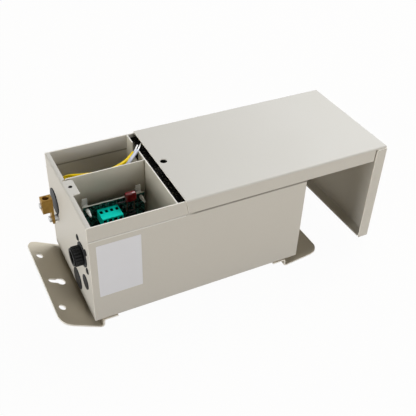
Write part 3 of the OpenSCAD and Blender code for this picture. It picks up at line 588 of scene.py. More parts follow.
plastics = {  # two colours, roughness, specular level
    "resistor_lacquer": ((0.030, 0.029, 0.026), (0.020, 0.020, 0.018), 0.30, 0.5),
    "capacitor_sleeve": ((0.010, 0.012, 0.020), (0.016, 0.018, 0.028), 0.22, 0.5),
    "rectifier_epoxy": ((0.012, 0.012, 0.013), (0.020, 0.020, 0.021), 0.50, 0.5),
    "connector_plastic": ((0.002, 0.0022, 0.0022), (0.004, 0.0044, 0.004), 0.42, 0.18),
    "seal_rubber": ((0.008, 0.008, 0.008), (0.014, 0.014, 0.014), 0.62, 0.5),
    "grey_plug_plastic": ((0.014, 0.016, 0.0175), (0.010, 0.0115, 0.013), 0.40, 0.2),
    "black_plug_plastic": ((0.008, 0.008, 0.009), (0.013, 0.013, 0.014), 0.40, 0.35),
}
finishes = {
    "box_paint": powderCoat("boxPaint"),
    "potting_compound": pottingCompound("pottingCompound"),
    "nylon": mouldedPlastic("nylon", (0.97, 0.98, 0.96), (0.94, 0.955, 0.93), 0.30, Subsurface_Weight=0.1,
                            Subsurface_Radius=(0.001, 0.001, 0.001), Subsurface_Scale=1.0),
    "yellow_insulation": insulation("yellowInsulation", (1.0, 0.74, 0.0), (1.0, 0.68, 0.0), 0.18),
    "white_insulation": insulation("whiteInsulation", (0.62, 0.64, 0.72), (0.55, 0.57, 0.66)),
    "board_laminate": solderMask("solderMask"),
    "terminal_plastic": shadedBlockPlastic("terminalPlastic", "terminal_block", (0, 0.93, 0.76), (0, 0.86, 0.7)),
    "capacitor_dip": mouldedPlastic("capacitorDip", (0.3, 0.004, 0.006), (0.14, 0.002, 0.003), 0.12, 300, 0.3,
                                    Specular_IOR_Level=0.2, Coat_Weight=0.9, Coat_Roughness=0.04),
    "label_film": mouldedPlastic("labelFilm", (0.79, 0.80, 0.855), (0.765, 0.775, 0.825), 0.38, 500, 0.10),
}
for slot, look in metals.items():
    finishes[slot] = machinedMetal(slot, *look)
for slot, (*look, specular) in plastics.items():
    finishes[slot] = mouldedPlastic(slot, *look, Specular_IOR_Level=specular)
print("finishes", len(finishes))


# ---- leads

leads = {
    "spacing": 1.2,   # between rings of a lead
    "bareSpacing": 0.5,
    "wire": 0.26,     # radius of one bare strand
    "strands": 6,     # strands laid round the middle one
    "layLength": 11,  # length over which they turn once
}
# each route's points stand this far right of the box's left side, in from its middle and up
yellowRoute = [
    (80.2, 27.5, 24), (73, 27.5, 24), (65, 28, 22.5), (57, 29, 18.5), (48, 30.5, 12.5), (39, 32.5, 7),
    (30, 34.5, 4), (21, 36.5, 4.6), (13.5, 37.3, 7.4), (8, 37.5, 12.6), (5, 37, 20), (4.4, 35.5, 30),
    (4.4, 33.5, 42), (4.4, 31.5, 55), (4.4, 29.5, 68), (4.4, 28, 80), (4.4, 26.9, 90), (4.8, 26.1, 98),
    (7.4, 24.3, 104.2), (13, 21.5, 106.6), (21, 18.3, 106.9), (30, 16.9, 106.6), (41, 16.3, 106.3),
    (51, 16.9, 106.4), (60.2, 20.3, 106.3), (68.4, 25.5, 105.8), (74.4, 30.5, 105.8), (79.1, 33.7, 107.2)]
whiteRoute = [
    (80.2, 39.5, 24), (73, 39.5, 24), (65, 40, 21.5), (57, 41, 16.5), (48, 42.5, 10.5), (39, 44, 5.5),
    (30, 45, 3.6), (21.5, 45.5, 4.6), (14, 45.5, 7.8), (8.6, 45.5, 13), (6, 45.1, 21), (6.2, 44.1, 31),
    (7.6, 42.9, 41), (8.4, 41.1, 50), (8.6, 38.5, 59), (9.4, 35.1, 68.4), (12, 31.7, 77.6),
    (16.6, 28.1, 84.6), (23, 23.9, 90.2), (32, 19.9, 94.2), (41, 17.5, 96.6), (50, 16.1, 99),
    (58.6, 15.7, 102.2), (66, 17.3, 106.4), (72, 21.9, 108.7), (78.8, 28.7, 109.3), (83, 32.7, 109.3)]
yellowEnd = [(79.1, 33.7, 107.2), (80.04, 34.34, 107.48), (86.2, 40.7, 110)]
whiteEnd = [(83, 32.7, 109.3), (83.84, 33.5, 109.3), (91.3, 43.3, 109.3)]


def laid(route, spacing):
    return smoothLine(np.array(route) + [shellLow[0], 0, 0], spacing)


def addLead(name, node, route, end):
    line, bare = laid(route, leads["spacing"]), laid(end, leads["bareSpacing"])
    item = piece(name, [tube(line, 3.5 / 2, 20)], node)
    s = runLength(bare)
    side, up = frameAlong(bare)
    apart = 2 * leads["wire"] * (1 + 0.10 * (s / s[-1]) ** 4)  # the lay opens a little at the tip
    strands = [tube(bare, leads["wire"], 10)]
    for k in range(leads["strands"]):
        turn = 2 * np.pi * (s / leads["layLength"] + k / leads["strands"])
        strand = bare + (apart * np.cos(turn))[:, None] * side + (apart * np.sin(turn))[:, None] * up
        strands.append(tube(strand[:len(strand) - k % 3], leads["wire"], 10))
    return item, line, strands


def addLeads():
    yellow, yellowLine, yellowBare = addLead("yellowLead", "yellow_lead", yellowRoute, yellowEnd)
    white, whiteLine, whiteBare = addLead("whiteLead", "white_lead", whiteRoute, whiteEnd)
    ends = piece("bareStrands", yellowBare + whiteBare, "stripped_ends")
    for item, line, others in ((yellow, yellowLine, [ends]), (white, whiteLine, [])):
        line[0] * mm
        line * mm


addLeads()
print("leads placed")


# ---- folded sheet metal: each piece is its outer surface, given its wall by a modifier

sheet = {"wall": 1.2, "fold": 1.9, "edge": 0.28, "bracketWall": 1.6, "bracketEdge": 0.3}


def folded(name, node, parts, inside, material=None, body="box", wall=sheet["wall"], edge=sheet["edge"]):
    piece(name, [facing(part, inside) for part in parts], node, body, wall, edge, material=material)


shell = {"rimIn": 0.9, "joggle": 14.7, "ledge": 0.22, "joggleFold": 0.3, "backFold": 2.4, "slices": 12}
shelf = rimTop - shell["joggle"]


def addShell():
    rim, ledge, fold = halfWide - shell["rimIn"], shell["ledge"], shell["joggleFold"]
    wall = [(-rim, rimTop), (-rim, shelf + ledge), (-halfWide, shelf - ledge), (-halfWide, 0)]
    mirrored = [(-y, z) for y, z in wall[::-1]]
    y, z = bent(wall + mirrored, [fold, fold, shell["backFold"], shell["backFold"], fold, fold]).T
    x = np.linspace(shellLow[0], shellHigh[0], shell["slices"])[:, None]
    folded("enclosureShell", "enclosure_shell", [sheetOf(x, y, z)], [0, 0, 60], shellPaint)


endPanel = {
    "inset": 1.2, "rimInset": 2.1,  # how far its edges stand inside the box's sides, and inside the rims
    "step": 0.45,  # half the height over which the one becomes the other
    "lip": 4.4, "tab": 10.9, "tabFrom": -12.5, "tabTo": 10.5, "relief": 1.6, "corner": 2,
    "hole": 3.8, "holeIn": 6, "holeY": 0, "window": 2.4, "neck": 2.4, "neckWall": 1,
    "flange": 9, "flangeIn": 12, "flangeFoot": 8.4, "flangeHead": 8, "gapFrom": 11, "gapTo": 15,
}


def addEndPanel(name, node, side):
    # side is -1 at the left end, where the lip has the screw tab, and 1 at the right end
    p, tabbed, window = endPanel, side < 0, endPanel["window"]
    reach = p["tab"] if tabbed else p["lip"]
    section = bent([(0, sheet["wall"]), (0, rimTop), (reach, rimTop)], sheet["fold"])  # (distance in, z)
    s = runLength(section)
    start = s[-2] - sheet["fold"]  # add a distance in from the end to get the place along the far side
    hole, row = p["holeIn"] + start, p["holeY"]
    upright = shelf - sheet["wall"] + np.array([-p["step"], p["step"]])
    tops = lines(s[-2], (s[-1], 1))
    if tabbed:
        tops = lines(s[-2], (hole - window, 1), (hole + window, 6), (start + reach - p["corner"], 1),
                     (start + reach, 1))
    us = np.concatenate([[0], upright, s[1:-2], tops])
    vs = lines(-halfWide, (p["tabFrom"], 4), (row - window, 2), (row + window, 6),
               (p["tabTo"] - p["corner"], 1), (p["tabTo"], 1), (p["tabTo"] + p["relief"], 1), (halfWide, 4))

    def keep(u, v):
        tab = (v > p["tabFrom"]) & (v < p["tabTo"])
        relief = (v > p["tabTo"]) & (v < p["tabTo"] + p["relief"]) & (u > s[-2])
        return ((u < start + p["lip"] + 0.01) | tab) & ~relief

    holes = [(hole, row, window, window, roundHole(hole, row, p["hole"]))]
    flat, faces = blank(us, vs, keep, holes) if tabbed else blank(us, vs)
    if tabbed:
        tip = (np.abs(flat - [reach + start, p["tabTo"]]) < 0.01).all(1)
        flat[tip] -= p["corner"] / 2
    x, z = along(section, flat[:, 0]).T
    narrow = halfWide - np.interp(z, [shelf - p["step"], shelf + p["step"]], [p["inset"], p["rimInset"]])
    out = shellLow[0] if tabbed else shellHigh[0]
    points = spread(out - side * x, np.clip(flat[:, 1], -narrow, narrow), z)
    folded(name, node, [(points, faces)], [0, 0, 50])


def addNeck():
    # the neck drawn down round the tab's hole, bare where the tap cut it and coloured dark as painted shade
    # in the hole: a ring whose foot draws in
    low, high = corners("left_end_panel")
    p, bore, under, top = endPanel, endPanel["hole"] / 2, high[2] - sheet["wall"], high[2] - 0.08
    outer, foot = bore + p["neckWall"], under - p["neck"]
    profile = [(top, bore - 0.12), (foot, bore - 0.12), (foot, outer - 0.25), (foot + 0.25, outer),
               (under - 0.05, outer), (under - 0.05, bore + 0.05), (top, bore + 0.05)]
    neck = lathe(profile, (low[0] + p["holeIn"], p["holeY"], 0), 2, 36, closed=True)
    piece("tabNeck", [neck], material=tappedSteel, slot="box_paint")


def addFlanges():
    # the weld flanges: thin strips bent in from both end panels and from the transformer wall
    p, wall, far = endPanel, sheet["wall"], halfWide - endPanel["flangeIn"]
    upright = (p["flangeFoot"], shelf - p["flangeHead"])
    strips = [(y, y + wall, *upright) for y in (wall - halfWide, halfWide - 2 * wall)]
    strips += [(-far, p["gapFrom"], wall, 2 * wall), (p["gapTo"], far, wall, 2 * wall)]
    for name, x, way in (("leftFlanges", shellLow[0] + wall, 1), ("rightFlanges", shellHigh[0] - wall, -1),
                         ("wallFlanges", corners("transformer_wall")[0][0] + wall, 1)):
        x0, x1 = sorted((x - way * 0.4, x + way * p["flange"]))
        parts = [roundedBlock((x0, y0, z0), (x1, y1, z1), 0.25) for y0, y1, z0, z1 in strips]
        piece(name, parts, slot="box_paint")


divider = {"flange": 9, "flangeIn": 16, "notchWide": 5.3, "notchDeep": 2.4}


def addDivider():
    low, high = corners("divider")
    deep, foot, head = low[1] + divider["flange"], divider["flangeIn"], high[2] - divider["flangeIn"]
    section = bent([(low[0], deep), (low[0], low[1]), (high[0], low[1]), (high[0], deep)], sheet["fold"])
    s = runLength(section)
    notchAt, notchFloor = shellLow[0] + divider["notchWide"] - low[0], high[2] - divider["notchDeep"]
    us = np.concatenate([s[:8], lines(s[7] + notchAt - sheet["fold"], (s[8], 6))[:-1], s[8:]])
    vs = lines(low[2], (foot, 1), (head, 4), (notchFloor, 1), (high[2], 1))

    def keep(u, v):
        strip = (u > s[1]) & (u < s[-2])
        return (strip | (v > foot) & (v < head)) & ~((u < us[8]) & (v > notchFloor))

    flat, faces = blank(us, vs, keep)
    points = np.column_stack([along(section, flat[:, 0]), flat[:, 1]])
    # its coat is tinted warmer as painted shade of the bay
    folded("bayDivider", "divider", [(points, faces)], [-60, 200, 50],
           powderCoat("dividerPaint", paint["inside"]))


notch = {"from": 28.8, "to": 45.8, "taper": 2, "depth": 14}


def addTransformerWall():
    low, high = corners("transformer_wall")
    top, wide, rim = high[2], halfWide - endPanel["inset"], halfWide - endPanel["rimInset"]
    floor, taper = top - notch["depth"], notch["taper"]
    outline = bent([
        (0, low[2]), (wide, low[2]), (wide, shelf - 0.6), (rim, shelf + 0.3), (rim, top), (notch["to"], top),
        (notch["to"] - taper, floor), (notch["from"] + taper, floor), (notch["from"], top),
        (-rim, top), (-rim, shelf + 0.3), (-wide, shelf - 0.6), (-wide, low[2]), (0, low[2] - 0.001)],
        [1.2, 0.3, 0.3, 0.4, 0.5, 1.2, 1.2, 0.5, 0.4, 0.3, 0.3, 1.2], 4)[:-1]
    wall = extruded(outline, low[0], low[0] + sheet["wall"], sheet["edge"], axis=0)
    # its coat is tinted as painted shade of the bay, with a painted highlight along its top edge
    piece("transformerWall", [wall], "transformer_wall",
          material=powderCoat("wallPaint", paint["inside"], paintedHighlightAbove=top - 0.35))


cover = {
    "half": 63.2, "skirt": 14.7, "flange": 12.6, "relief": 1.5, "flangeGap": 2.1, "corner": 2.5,
    "slope": 3, "slopeTo": 12.1,  # how far the skirts' lower corners lean in, and where that ends
    "hole": 7.2, "holeIn": 6.5, "holeY": 1.8, "windowX": 4.9, "windowY": 5.6,
}


def addCover():
    low, high = corners("front_cover")
    c, r, half = cover, sheet["fold"], cover["half"]
    left, (right, flapHalf, top) = low[0], high
    holeX, windowX, windowY = left + c["holeIn"], c["windowX"], c["windowY"]
    section = bent([(-half, top - c["skirt"]), (-half, top), (half, top), (half, top - c["skirt"])], r)
    s = runLength(section)
    ys = lines(r - half, (c["holeY"] - windowY, 3), (c["holeY"] + windowY, 8), (half - r, 3))
    row, skirtEnd = s[-1] / 2 + c["holeY"], right - c["flange"] - c["relief"]
    us = lines(left, (holeX - windowX, 1), (holeX + windowX, 8), (skirtEnd, 8), (right - r, 1))
    flat, faces = blank(us, np.concatenate([s[:8], s[-1] / 2 + ys[1:-1], s[8:]]),
                        lambda u, v: (u < skirtEnd) | ((v > s[1]) & (v < s[-2])),
                        [(holeX, row, windowX, windowY, roundHole(holeX, row, c["hole"]))])
    yz = along(section, flat[:, 1])
    # near the left end the skirts' points move right in proportion to their depth
    depth = np.clip((top - yz[:, 1]) / c["skirt"], 0, 1)
    lean = c["slope"] * depth * np.clip(1 - (flat[:, 0] - left) / c["slopeTo"], 0, 1)
    parts = [(np.column_stack([flat[:, 0] + lean, yz]), faces)]

    turn = np.linspace(0, np.pi / 2, 7)
    a = turn[:, None]
    parts.append(sheetOf(right - r + r * np.sin(a), ys, top - r + r * np.cos(a)))
    for way in (-1, 1):  # the corner is an eighth of a ball between the two folds
        y = way * (half - r + r * np.sin(a) * np.sin(turn))
        parts.append(sheetOf(right - r + r * np.sin(a) * np.cos(turn), y, top - r + r * np.cos(a)))

    flangeTop, corner, back = top - c["flangeGap"], c["corner"], right - c["flange"]
    around = bent([(back, -flapHalf), (right, -flapHalf), (right, flapHalf), (back, flapHalf)], r)
    t = runLength(around)
    inner = np.concatenate([[r - half], ys[1:-1], [half - r]])
    zs = lines(low[2], (low[2] + r, 1), (flangeTop - corner, 6), (flangeTop, 5))
    flat, faces = blank(zs, np.concatenate([t[:8], t[-1] / 2 + inner, t[8:]]),
                        lambda z, v: (z > low[2] + r) | (np.abs(v - t[-1] / 2) > half - r))
    x, y = along(around, flat[:, 1]).T
    lift = np.clip(flat[:, 0] - (flangeTop - corner), 0, corner)
    share = np.clip((right - r - x) / (c["flange"] - r), 0, 1)
    x = x + share * (corner - np.sqrt(corner ** 2 - lift ** 2))
    parts.append((spread(x, y, flat[:, 0]), faces))
    parts.append(sheetOf(right, ys, np.array([[flangeTop], [top - r]])))
    x, z = bent([(right, low[2] + r), (right, low[2]), (back, low[2])], r - 0.001).T[:, :, None]
    parts.append(sheetOf(x, ys, z))
    folded("slidingCover", "front_cover", parts, [(left + right) / 2, 0, 55], body="cover")


bracket = {
    "baseTab": 15, "drop": 9.4, "ear": 41.6, "fold": 1.6, "corner": 11,
    "holeY": 38.8, "hole": 7, "keyAt": 22.4, "keyHead": 9.8, "keySlot": 6, "keyEnd": 35.3,
    # the grid round the holes starts gridAt from the bend; a round hole's window is 8 steps each way,
    # from its holeRow, and the keyhole's is 18 by 10
    "step": 1.325, "gridAt": 14.7,
    "left": {"in": 7, "tilt": 28, "holeAt": 33.1, "holeRow": 10},
    "right": {"in": 12, "tilt": 7.5, "holeAt": 20, "holeRow": 0},
}


def keyhole(at, head, slot, end):
    # the window's edge moves onto a circle with a round-ended slot running from it: towards the
    # slot's end each ray stops at the slot's side or its round end, elsewhere at the circle
    def outline(edge):
        way = unit(edge - [at, 0])
        half = slot / 2
        centre = end - half - at
        side = half / np.maximum(np.abs(way[:, 1]), 1e-6)
        onward = way[:, 0] * centre
        tip = onward + np.sqrt(np.maximum(onward ** 2 - centre ** 2 + half ** 2, 0))
        reach = np.where(side * way[:, 0] > centre, tip, side)
        reach = np.where(way[:, 0] > 0, np.maximum(reach, head / 2), head / 2)
        return [at, 0] + way * reach[:, None]
    return outline


def addBracket(name, node, side):
    b, at, wall = bracket, bracket["left" if side < 0 else "right"], sheet["bracketWall"]
    bend = shellLow[0] + at["in"] if side < 0 else shellHigh[0] - at["in"]
    tilt, r, outer = np.radians(at["tilt"]), b["fold"], b["fold"] + wall
    way, below = np.array([np.cos(tilt), np.sin(tilt)]), np.array([np.sin(tilt), -np.cos(tilt)])
    start = r * np.tan(np.pi / 4 - tilt / 2)
    tangent = np.array([r, outer - b["drop"]]) + r * below
    corner = tangent - way * r * np.tan(np.pi / 4 + tilt / 2)
    section = bent([(-b["baseTab"], 0), (0, 0), corner, tangent + way * (b["ear"] - start)],
                   [outer - 0.001, r - 0.001], 8)
    s = runLength(section)
    lower = s[-2] - start  # add a distance from the lower bend to get the place along the fold
    step, first, ear = b["step"], lower + b["gridAt"], lower + b["ear"]
    us = np.concatenate([s[:-1], [first - 2], first + step * np.arange(19), [ear - 1.4, ear]])
    hole, near, rounding = b["holeY"], 4 * step, b["corner"] / 3
    vs = lines(-halfWide, (-halfWide + rounding, 3), (-hole - near, 6), (near - hole, 8), (-5 * step, 8),
               (5 * step, 10), (hole - near, 8), (hole + near, 8), (halfWide - rounding, 6), (halfWide, 3))
    key = keyhole(lower + b["keyAt"], b["keyHead"], b["keySlot"], lower + b["keyEnd"])
    holes = [(first + 9 * step, 0, 9 * step, 5 * step, key)]
    for y in (-hole, hole):
        outline = roundHole(lower + at["holeAt"], y, b["hole"])
        holes.append((first + at["holeRow"] * step + near, y, near, near, outline))
    flat, faces = blank(us, vs, None, holes)
    # the free edge's corners: what lies past the start of the rounding shrinks to a quarter circle
    bound = ear - b["corner"]
    past = np.clip(np.abs(flat[:, 1]) - (halfWide - b["corner"]), 0, b["corner"])
    reach = np.sqrt(b["corner"] ** 2 - past ** 2) / b["corner"]
    flat[:, 0] = np.where(flat[:, 0] > bound, bound + (flat[:, 0] - bound) * reach, flat[:, 0])
    x, z = along(section, flat[:, 0]).T
    folded(name, node, [(spread(bend + side * x, flat[:, 1], z), faces)], [bend, 0, -500], bracketPaint,
           wall=wall, edge=sheet["bracketEdge"])


addShell()
addEndPanel("leftEndPanel", "left_end_panel", -1)
addNeck()
addFlanges()
addEndPanel("rightEndPanel", "right_end_panel", 1)
addDivider()
addTransformerWall()
addCover()
addBracket("leftBracket", "left_bracket", -1)
addBracket("rightBracket", "right_bracket", 1)
print("sheet metal folded")


# ---- potting and the bushings in the wall

potting = {"step": 1.3, "lump": 0.55, "sand": 0.28, "rise": 0.7, "riseOver": 3.0, "seed": 11}


def softNoise(rows, columns, every, dice):
    # random values on a coarse grid, every so many points, blended between with soft steps
    coarse = dice.random((rows // every + 2, columns // every + 2))
    i, j = np.arange(rows) / every, np.arange(columns) / every
    i0, j0 = i.astype(int), j.astype(int)
    fi, fj = (i - i0)[:, None], j - j0
    fi, fj = fi * fi * (3 - 2 * fi), fj * fj * (3 - 2 * fj)
    wide = coarse[:, j0] * (1 - fj) + coarse[:, j0 + 1] * fj
    return wide[i0] * (1 - fi) + wide[i0 + 1] * fi


def addPotting():
    # the top is a grid whose height falls below the fill level by lumps and sand, and climbs back to
    # it at the walls; the sides run down from the grid's border
    low, high = corners("potting")
    p, half = potting, high[1] - endPanel["rimInset"] + endPanel["inset"]
    m, n = int((high[0] - low[0]) / p["step"]), int(2 * half / p["step"])
    x, y = np.linspace(low[0], high[0], m)[:, None], np.linspace(-half, half, n)
    dice = np.random.default_rng(p["seed"])
    wall = np.minimum(np.minimum(x - low[0], high[0] - x), half - np.abs(y))
    climb = np.clip(1 - wall / p["riseOver"], 0, 1) ** 2
    lumps = 0.6 * softNoise(m, n, 9, dice) + 0.4 * softNoise(m, n, 4, dice)
    rough = p["lump"] * lumps + p["sand"] * dice.random((m, n))
    top = sheetOf(x, y, high[2] - p["rise"] * (1 - climb) - rough * (1 - 0.8 * climb))
    index = np.arange(m * n).reshape(m, n)
    border = np.concatenate([index[:-1, 0], index[-1, :-1], index[:0:-1, -1], index[0, :0:-1]])
    rings = [top[0][border]]
    for height, across in ((shelf + 0.4, half), (shelf - 0.6, high[1]), (low[2], high[1])):
        rings.append(rings[0] * [1, across / half, 0] + [0, 0, height])
    skirt = (np.concatenate(rings), gridFaces(4, len(border), True))
    piece("pottingFill", [top, skirt, (rings[-1], np.arange(len(border))[None])], "potting", smooth=50)


bushing = {"rim": 5.5, "body": 4, "bore": 3.6, "soft": 0.5, "exits": ((27.5, 24), (39.5, 24))}


def addBushings():
    low, high = corners("lead_bushings")
    rim, body, bore, r = bushing["rim"], bushing["body"], bushing["bore"] / 2, bushing["soft"]
    wall = corners("transformer_wall")[0][0]
    profile = [(high[0], 0), (high[0], body - 0.3), (high[0] - 0.3, body), (wall, body), (wall, rim - 0.1)]
    profile += arc(low[0] + r, rim - r, r, 90, 180) + arc(low[0] + r, bore + r, r, 180, 270)
    profile += [(low[0] + 1.2, bore), (low[0] + 1.2, 0)]
    piece("wallBushings", [lathe(profile, (0, y, z), n=40) for y, z in bushing["exits"]], "lead_bushings")


addPotting()
addBushings()
print("potting and bushings made")


# ---- the left end's fittings: each is turned about an axis through the panel

def middleOf(node):  # a round fitting's ends along x, its radius, and its axis
    low, high = corners(node)
    y, z = (low[1:] + high[1:]) / 2
    return low[0], high[0], (high[1] - low[1]) / 2, y, z


def addPlug(name, node, dish, rimWide, fingers, soft=0.4, n=72):
    # a snap-in plug: a face dished inside a raised rim, and a hollow neck split into fingers
    front, tip, radius, y, z = middleOf(node)
    panel, neck, flat = front + 1, radius - 1.7, radius - rimWide
    profile = [(front + dish, 0), (front + dish, flat - 1.2), (front + dish * 0.75, flat - 0.6),
               (front + dish * 0.2, flat - 0.15), (front, flat + 0.2)]
    profile += arc(front + soft, radius - soft, soft, 180, 90)
    profile += [(panel - 0.01, radius), (panel, radius - 0.1), (panel, neck), (panel + 1.4, neck),
                (panel + 1.9, neck + 0.25), (tip - 1.2, neck + 0.2), (tip - 0.3, neck - 0.4),
                (tip, neck - 0.7), (tip, neck - 1.1), (panel + 0.3, neck - 1.1), (panel + 0.1, 0)]
    skin, faces = lathe(profile, (0, y, z), n=n)
    # between the fingers the neck draws in: nothing of it shows outside
    gap = np.tile(np.arange(n) % (n // fingers) < 2, len(profile)) & (skin[:, 0] > panel + 1.6)
    skin[gap, 1:] = (skin[gap, 1:] - [y, z]) * 0.97 + [y, z]
    piece(name, [(skin, faces)], node, smooth=35)


outlet = {"barrel": 7.6, "bore": 6.1, "lip": 8.4, "soft": 0.3, "throat": 0.5, "plate": 2, "plateCorner": 3,
          "pinRing": 4.1, "key": 0.7}


def addOutlet():
    x, back, half, y, z = middleOf("outlet_housing")
    barrel, bore, lip, s, t = (outlet[k] for k in ("barrel", "bore", "lip", "soft", "throat"))
    profile = [(back, bore)] + arc(x + t, bore + t, t, 270, 180, 3) + arc(x + s, lip - s, s, 180, 90, 3)
    profile += [(x + 0.9, lip), (x + 1, lip - 0.1), (x + 1, barrel), (shellLow[0], barrel),
                (back - 0.4, barrel), (back, barrel - 0.4)]
    inner = shellLow[0] + sheet["wall"]
    square = roundedRectangle(2 * half, 2 * half, outlet["plateCorner"]) + [y, z]
    plate = extruded(square, inner, inner + outlet["plate"], 0.3, axis=0)
    piece("outletHousing", [lathe(profile, (0, y, z), n=56, closed=True), plate], "outlet_housing")

    angle = np.pi * (0.25 + np.arange(4) / 2)
    places = [(0, y + py, z + pz) for py, pz in outlet["pinRing"] * spread(np.cos(angle), np.sin(angle))]
    face = corners("outlet_insert")[0][0]
    disc = [(face, 0), (face, 2.2), (face, 2.4), (face, bore - 0.8), (face + 0.4, bore - 0.05),
            (back, bore - 0.05), (back, 0)]
    collar = [(face + 0.2, 0.9), (face - 0.7, 0.9), (face - 0.9, 1.1), (face - 0.9, 1.45), (face - 0.6, 1.6),
              (face + 0.2, 1.6)]  # raised round each pin
    core = [lathe(disc, (0, y, z))] + [lathe(collar, place, n=24) for place in places]
    key = outlet["key"]  # it lines the plug up
    core.append(roundedBlock((face - 3.2, y - key, z + 4.9), (face + 0.3, y + key, z + bore - 0.02), 0.2))
    piece("outletInsert", core, "outlet_insert")

    tip, end = middleOf("outlet_pins")[:2]
    pin = arc(tip + 1, 0, 1, 180, 90, 5)
    pin += [(end - 3, 1), (end - 3, 0.8), (end - 0.3, 0.8), (end, 0.5), (end, 0)]
    piece("outletPins", [lathe(pin, place, n=24) for place in places], "outlet_pins")

    front, back, outer = middleOf("outlet_seal")[:3]
    seal = [(back, outer)] + arc(front + s, outer - s, s, 90, 180, 3)
    seal += [(front, barrel + 0.8), (front + 0.3, barrel + 0.35), (back, barrel + 0.3)]
    piece("outletSeal", [lathe(seal, (0, y, z), n=56, closed=True)], "outlet_seal")


rivet = {"head": 3.2, "dome": 1.2, "shank": 1.5, "tail": 2.9}


def addRivets():
    # the head's dome is an ellipse over its radius, with the mandrel's dimple in its middle
    low, high = corners("outlet_rivets")
    head, shank, tail, panel = rivet["head"], rivet["shank"], rivet["tail"], shellLow[0]
    back = panel + sheet["wall"] + outlet["plate"]
    angle = np.linspace(np.pi / 2, 0, 8)[2:]
    profile = [(low[0] + 0.5, 0), (low[0] + 0.45, 0.55), (low[0] + 0.04, 0.85)]
    profile += list(zip(panel - rivet["dome"] * np.sin(angle) ** 0.8, head * np.cos(angle)))
    profile += [(panel, shank), (back, shank), (back, tail), (high[0] - 0.3, tail), (high[0], tail - 0.4),
                (high[0], 0)]
    parts = [lathe(profile, (0, y, z), n=32) for y in (low[1] + head, high[1] - head)
             for z in (low[2] + head, high[2] - head)]
    piece("outletRivets", parts, "outlet_rivets")


ring = {"ribs": 18, "rib": 0.95, "bore": 7.85, "soft": 0.5, "mark": 0.35}


def addRing():
    # the radius rises to a rib and falls again so many times round; near both ends it draws in
    front, back, outer, y, z = middleOf("coupling_ring")
    bore, mark, s = ring["bore"], ring["mark"], ring["soft"]
    middle, foot = (front + back) / 2, outer - ring["rib"]
    flat = circle(ring["ribs"] * 12)
    turn = np.arange(len(flat)) * 2 * np.pi / len(flat)
    skirt = foot + ring["rib"] * np.abs(np.cos(turn * ring["ribs"] / 2)) ** 0.6
    stations = [
        (back, bore + 0.4), (back - 0.4, bore), (front + 0.8, bore), (front + 0.3, bore + 0.15),
        (front, bore + 0.45), (front, foot - 0.25), (front + 0.12, skirt - 0.45), (front + s, skirt - 0.12),
        (front + s + 0.3, skirt), (middle - 0.25, skirt), (middle - 0.1, skirt - mark),
        (middle + 0.1, skirt - mark), (middle + 0.25, skirt), (back - s - 0.2, skirt),
        (back - s * 0.5, skirt - 0.1), (back - 0.06, skirt - 0.4), (back, foot - 0.3)]
    rings = np.stack([spread(x, y + flat[:, 0] * r, z + flat[:, 1] * r) for x, r in stations])
    piece("couplingRing", [loft(rings, closed=True)], "coupling_ring", "ring", smooth=45)


addPlug("wideHolePlug", "wide_hole_plug", 0.22, 1.0, 6)
addPlug("middleHolePlug", "middle_hole_plug", 0.35, 1.5, 6)
addPlug("narrowHolePlug", "narrow_hole_plug", 0.3, 1.2, 4)
addOutlet()
addRivets()
addRing()
print("left end fitted")


# ---- parts on the circuit board

board = corners("circuit_board")[0][1]
capacitor = {"leg": 0.4, "power": 2 / 3.2}


def addFilmCapacitor():
    # a dipped body: each level is a superellipse, |x/a|^n + |y/b|^n = 1, whose reach grows from the
    # legs' ends to the shoulders and falls again over the top
    low, high = corners("film_capacitor")
    legLow, legHigh = corners("film_capacitor_legs")
    middle, (a, b, tall), leg = (low + high) / 2, (high - low) / [2, 2, 1], capacitor["leg"]
    z = np.array([0.02, 0.03, 0.06, 0.11, 0.18, 0.30, 0.45, 0.62, 0.78, 0.88, 0.945, 0.98, 1.0])
    wide = np.array([0.62, 0.90, 0.965, 0.985, 0.995, 1.0, 1.0, 1.0, 0.985, 0.955, 0.89, 0.76, 0.02])
    deep = np.array([0.40, 0.76, 0.90, 0.96, 0.98, 1.0, 1.0, 0.98, 0.93, 0.85, 0.72, 0.52, 0.02])
    cx, cy = (np.sign(circle(64)) * np.abs(circle(64)) ** capacitor["power"]).T
    parts = [loft(spread(middle[0] + a * wide[:, None] * cx, middle[1] + b * deep[:, None] * cy,
                         (low[2] + tall * z)[:, None]))]
    # the coat runs a little way down each leg
    run = [(low[2] + up, leg * r) for up, r in (
        (-1.6, 1.02), (-1.2, 1.25), (-0.5, 1.5), (0, 2.0), (0.5, 2.9), (1.2, 2.2))]
    legs, y, foot = [], legLow[1] + leg, legLow[2]
    for x in (legLow[0] + leg, legHigh[0] - leg):
        parts.append(lathe(run, (x, y, 0), 2, 20))
        line = [(x, y, low[2] + 1), (x, y, foot + 3), (x, y, foot + 1.2), (x, y + 0.5, foot + leg + 0.1),
                (x, legHigh[1] - 1, foot + leg), (x, legHigh[1], foot + leg)]
        legs.append(tube(smoothLine(line, 0.4), leg, 12))
    piece("filmCapacitor", parts, "film_capacitor")
    piece("filmCapacitorLegs", legs, "film_capacitor_legs", material=dullLead)


# places on the board are (right of the box's left side, up)
resistor = {"long": 6.4, "body": 1.2, "waist": 0.95, "leg": 0.3, "legAt": 4.2,
            "places": ((52.4, 78.2), (62, 66), (62, 62), (62, 58))}


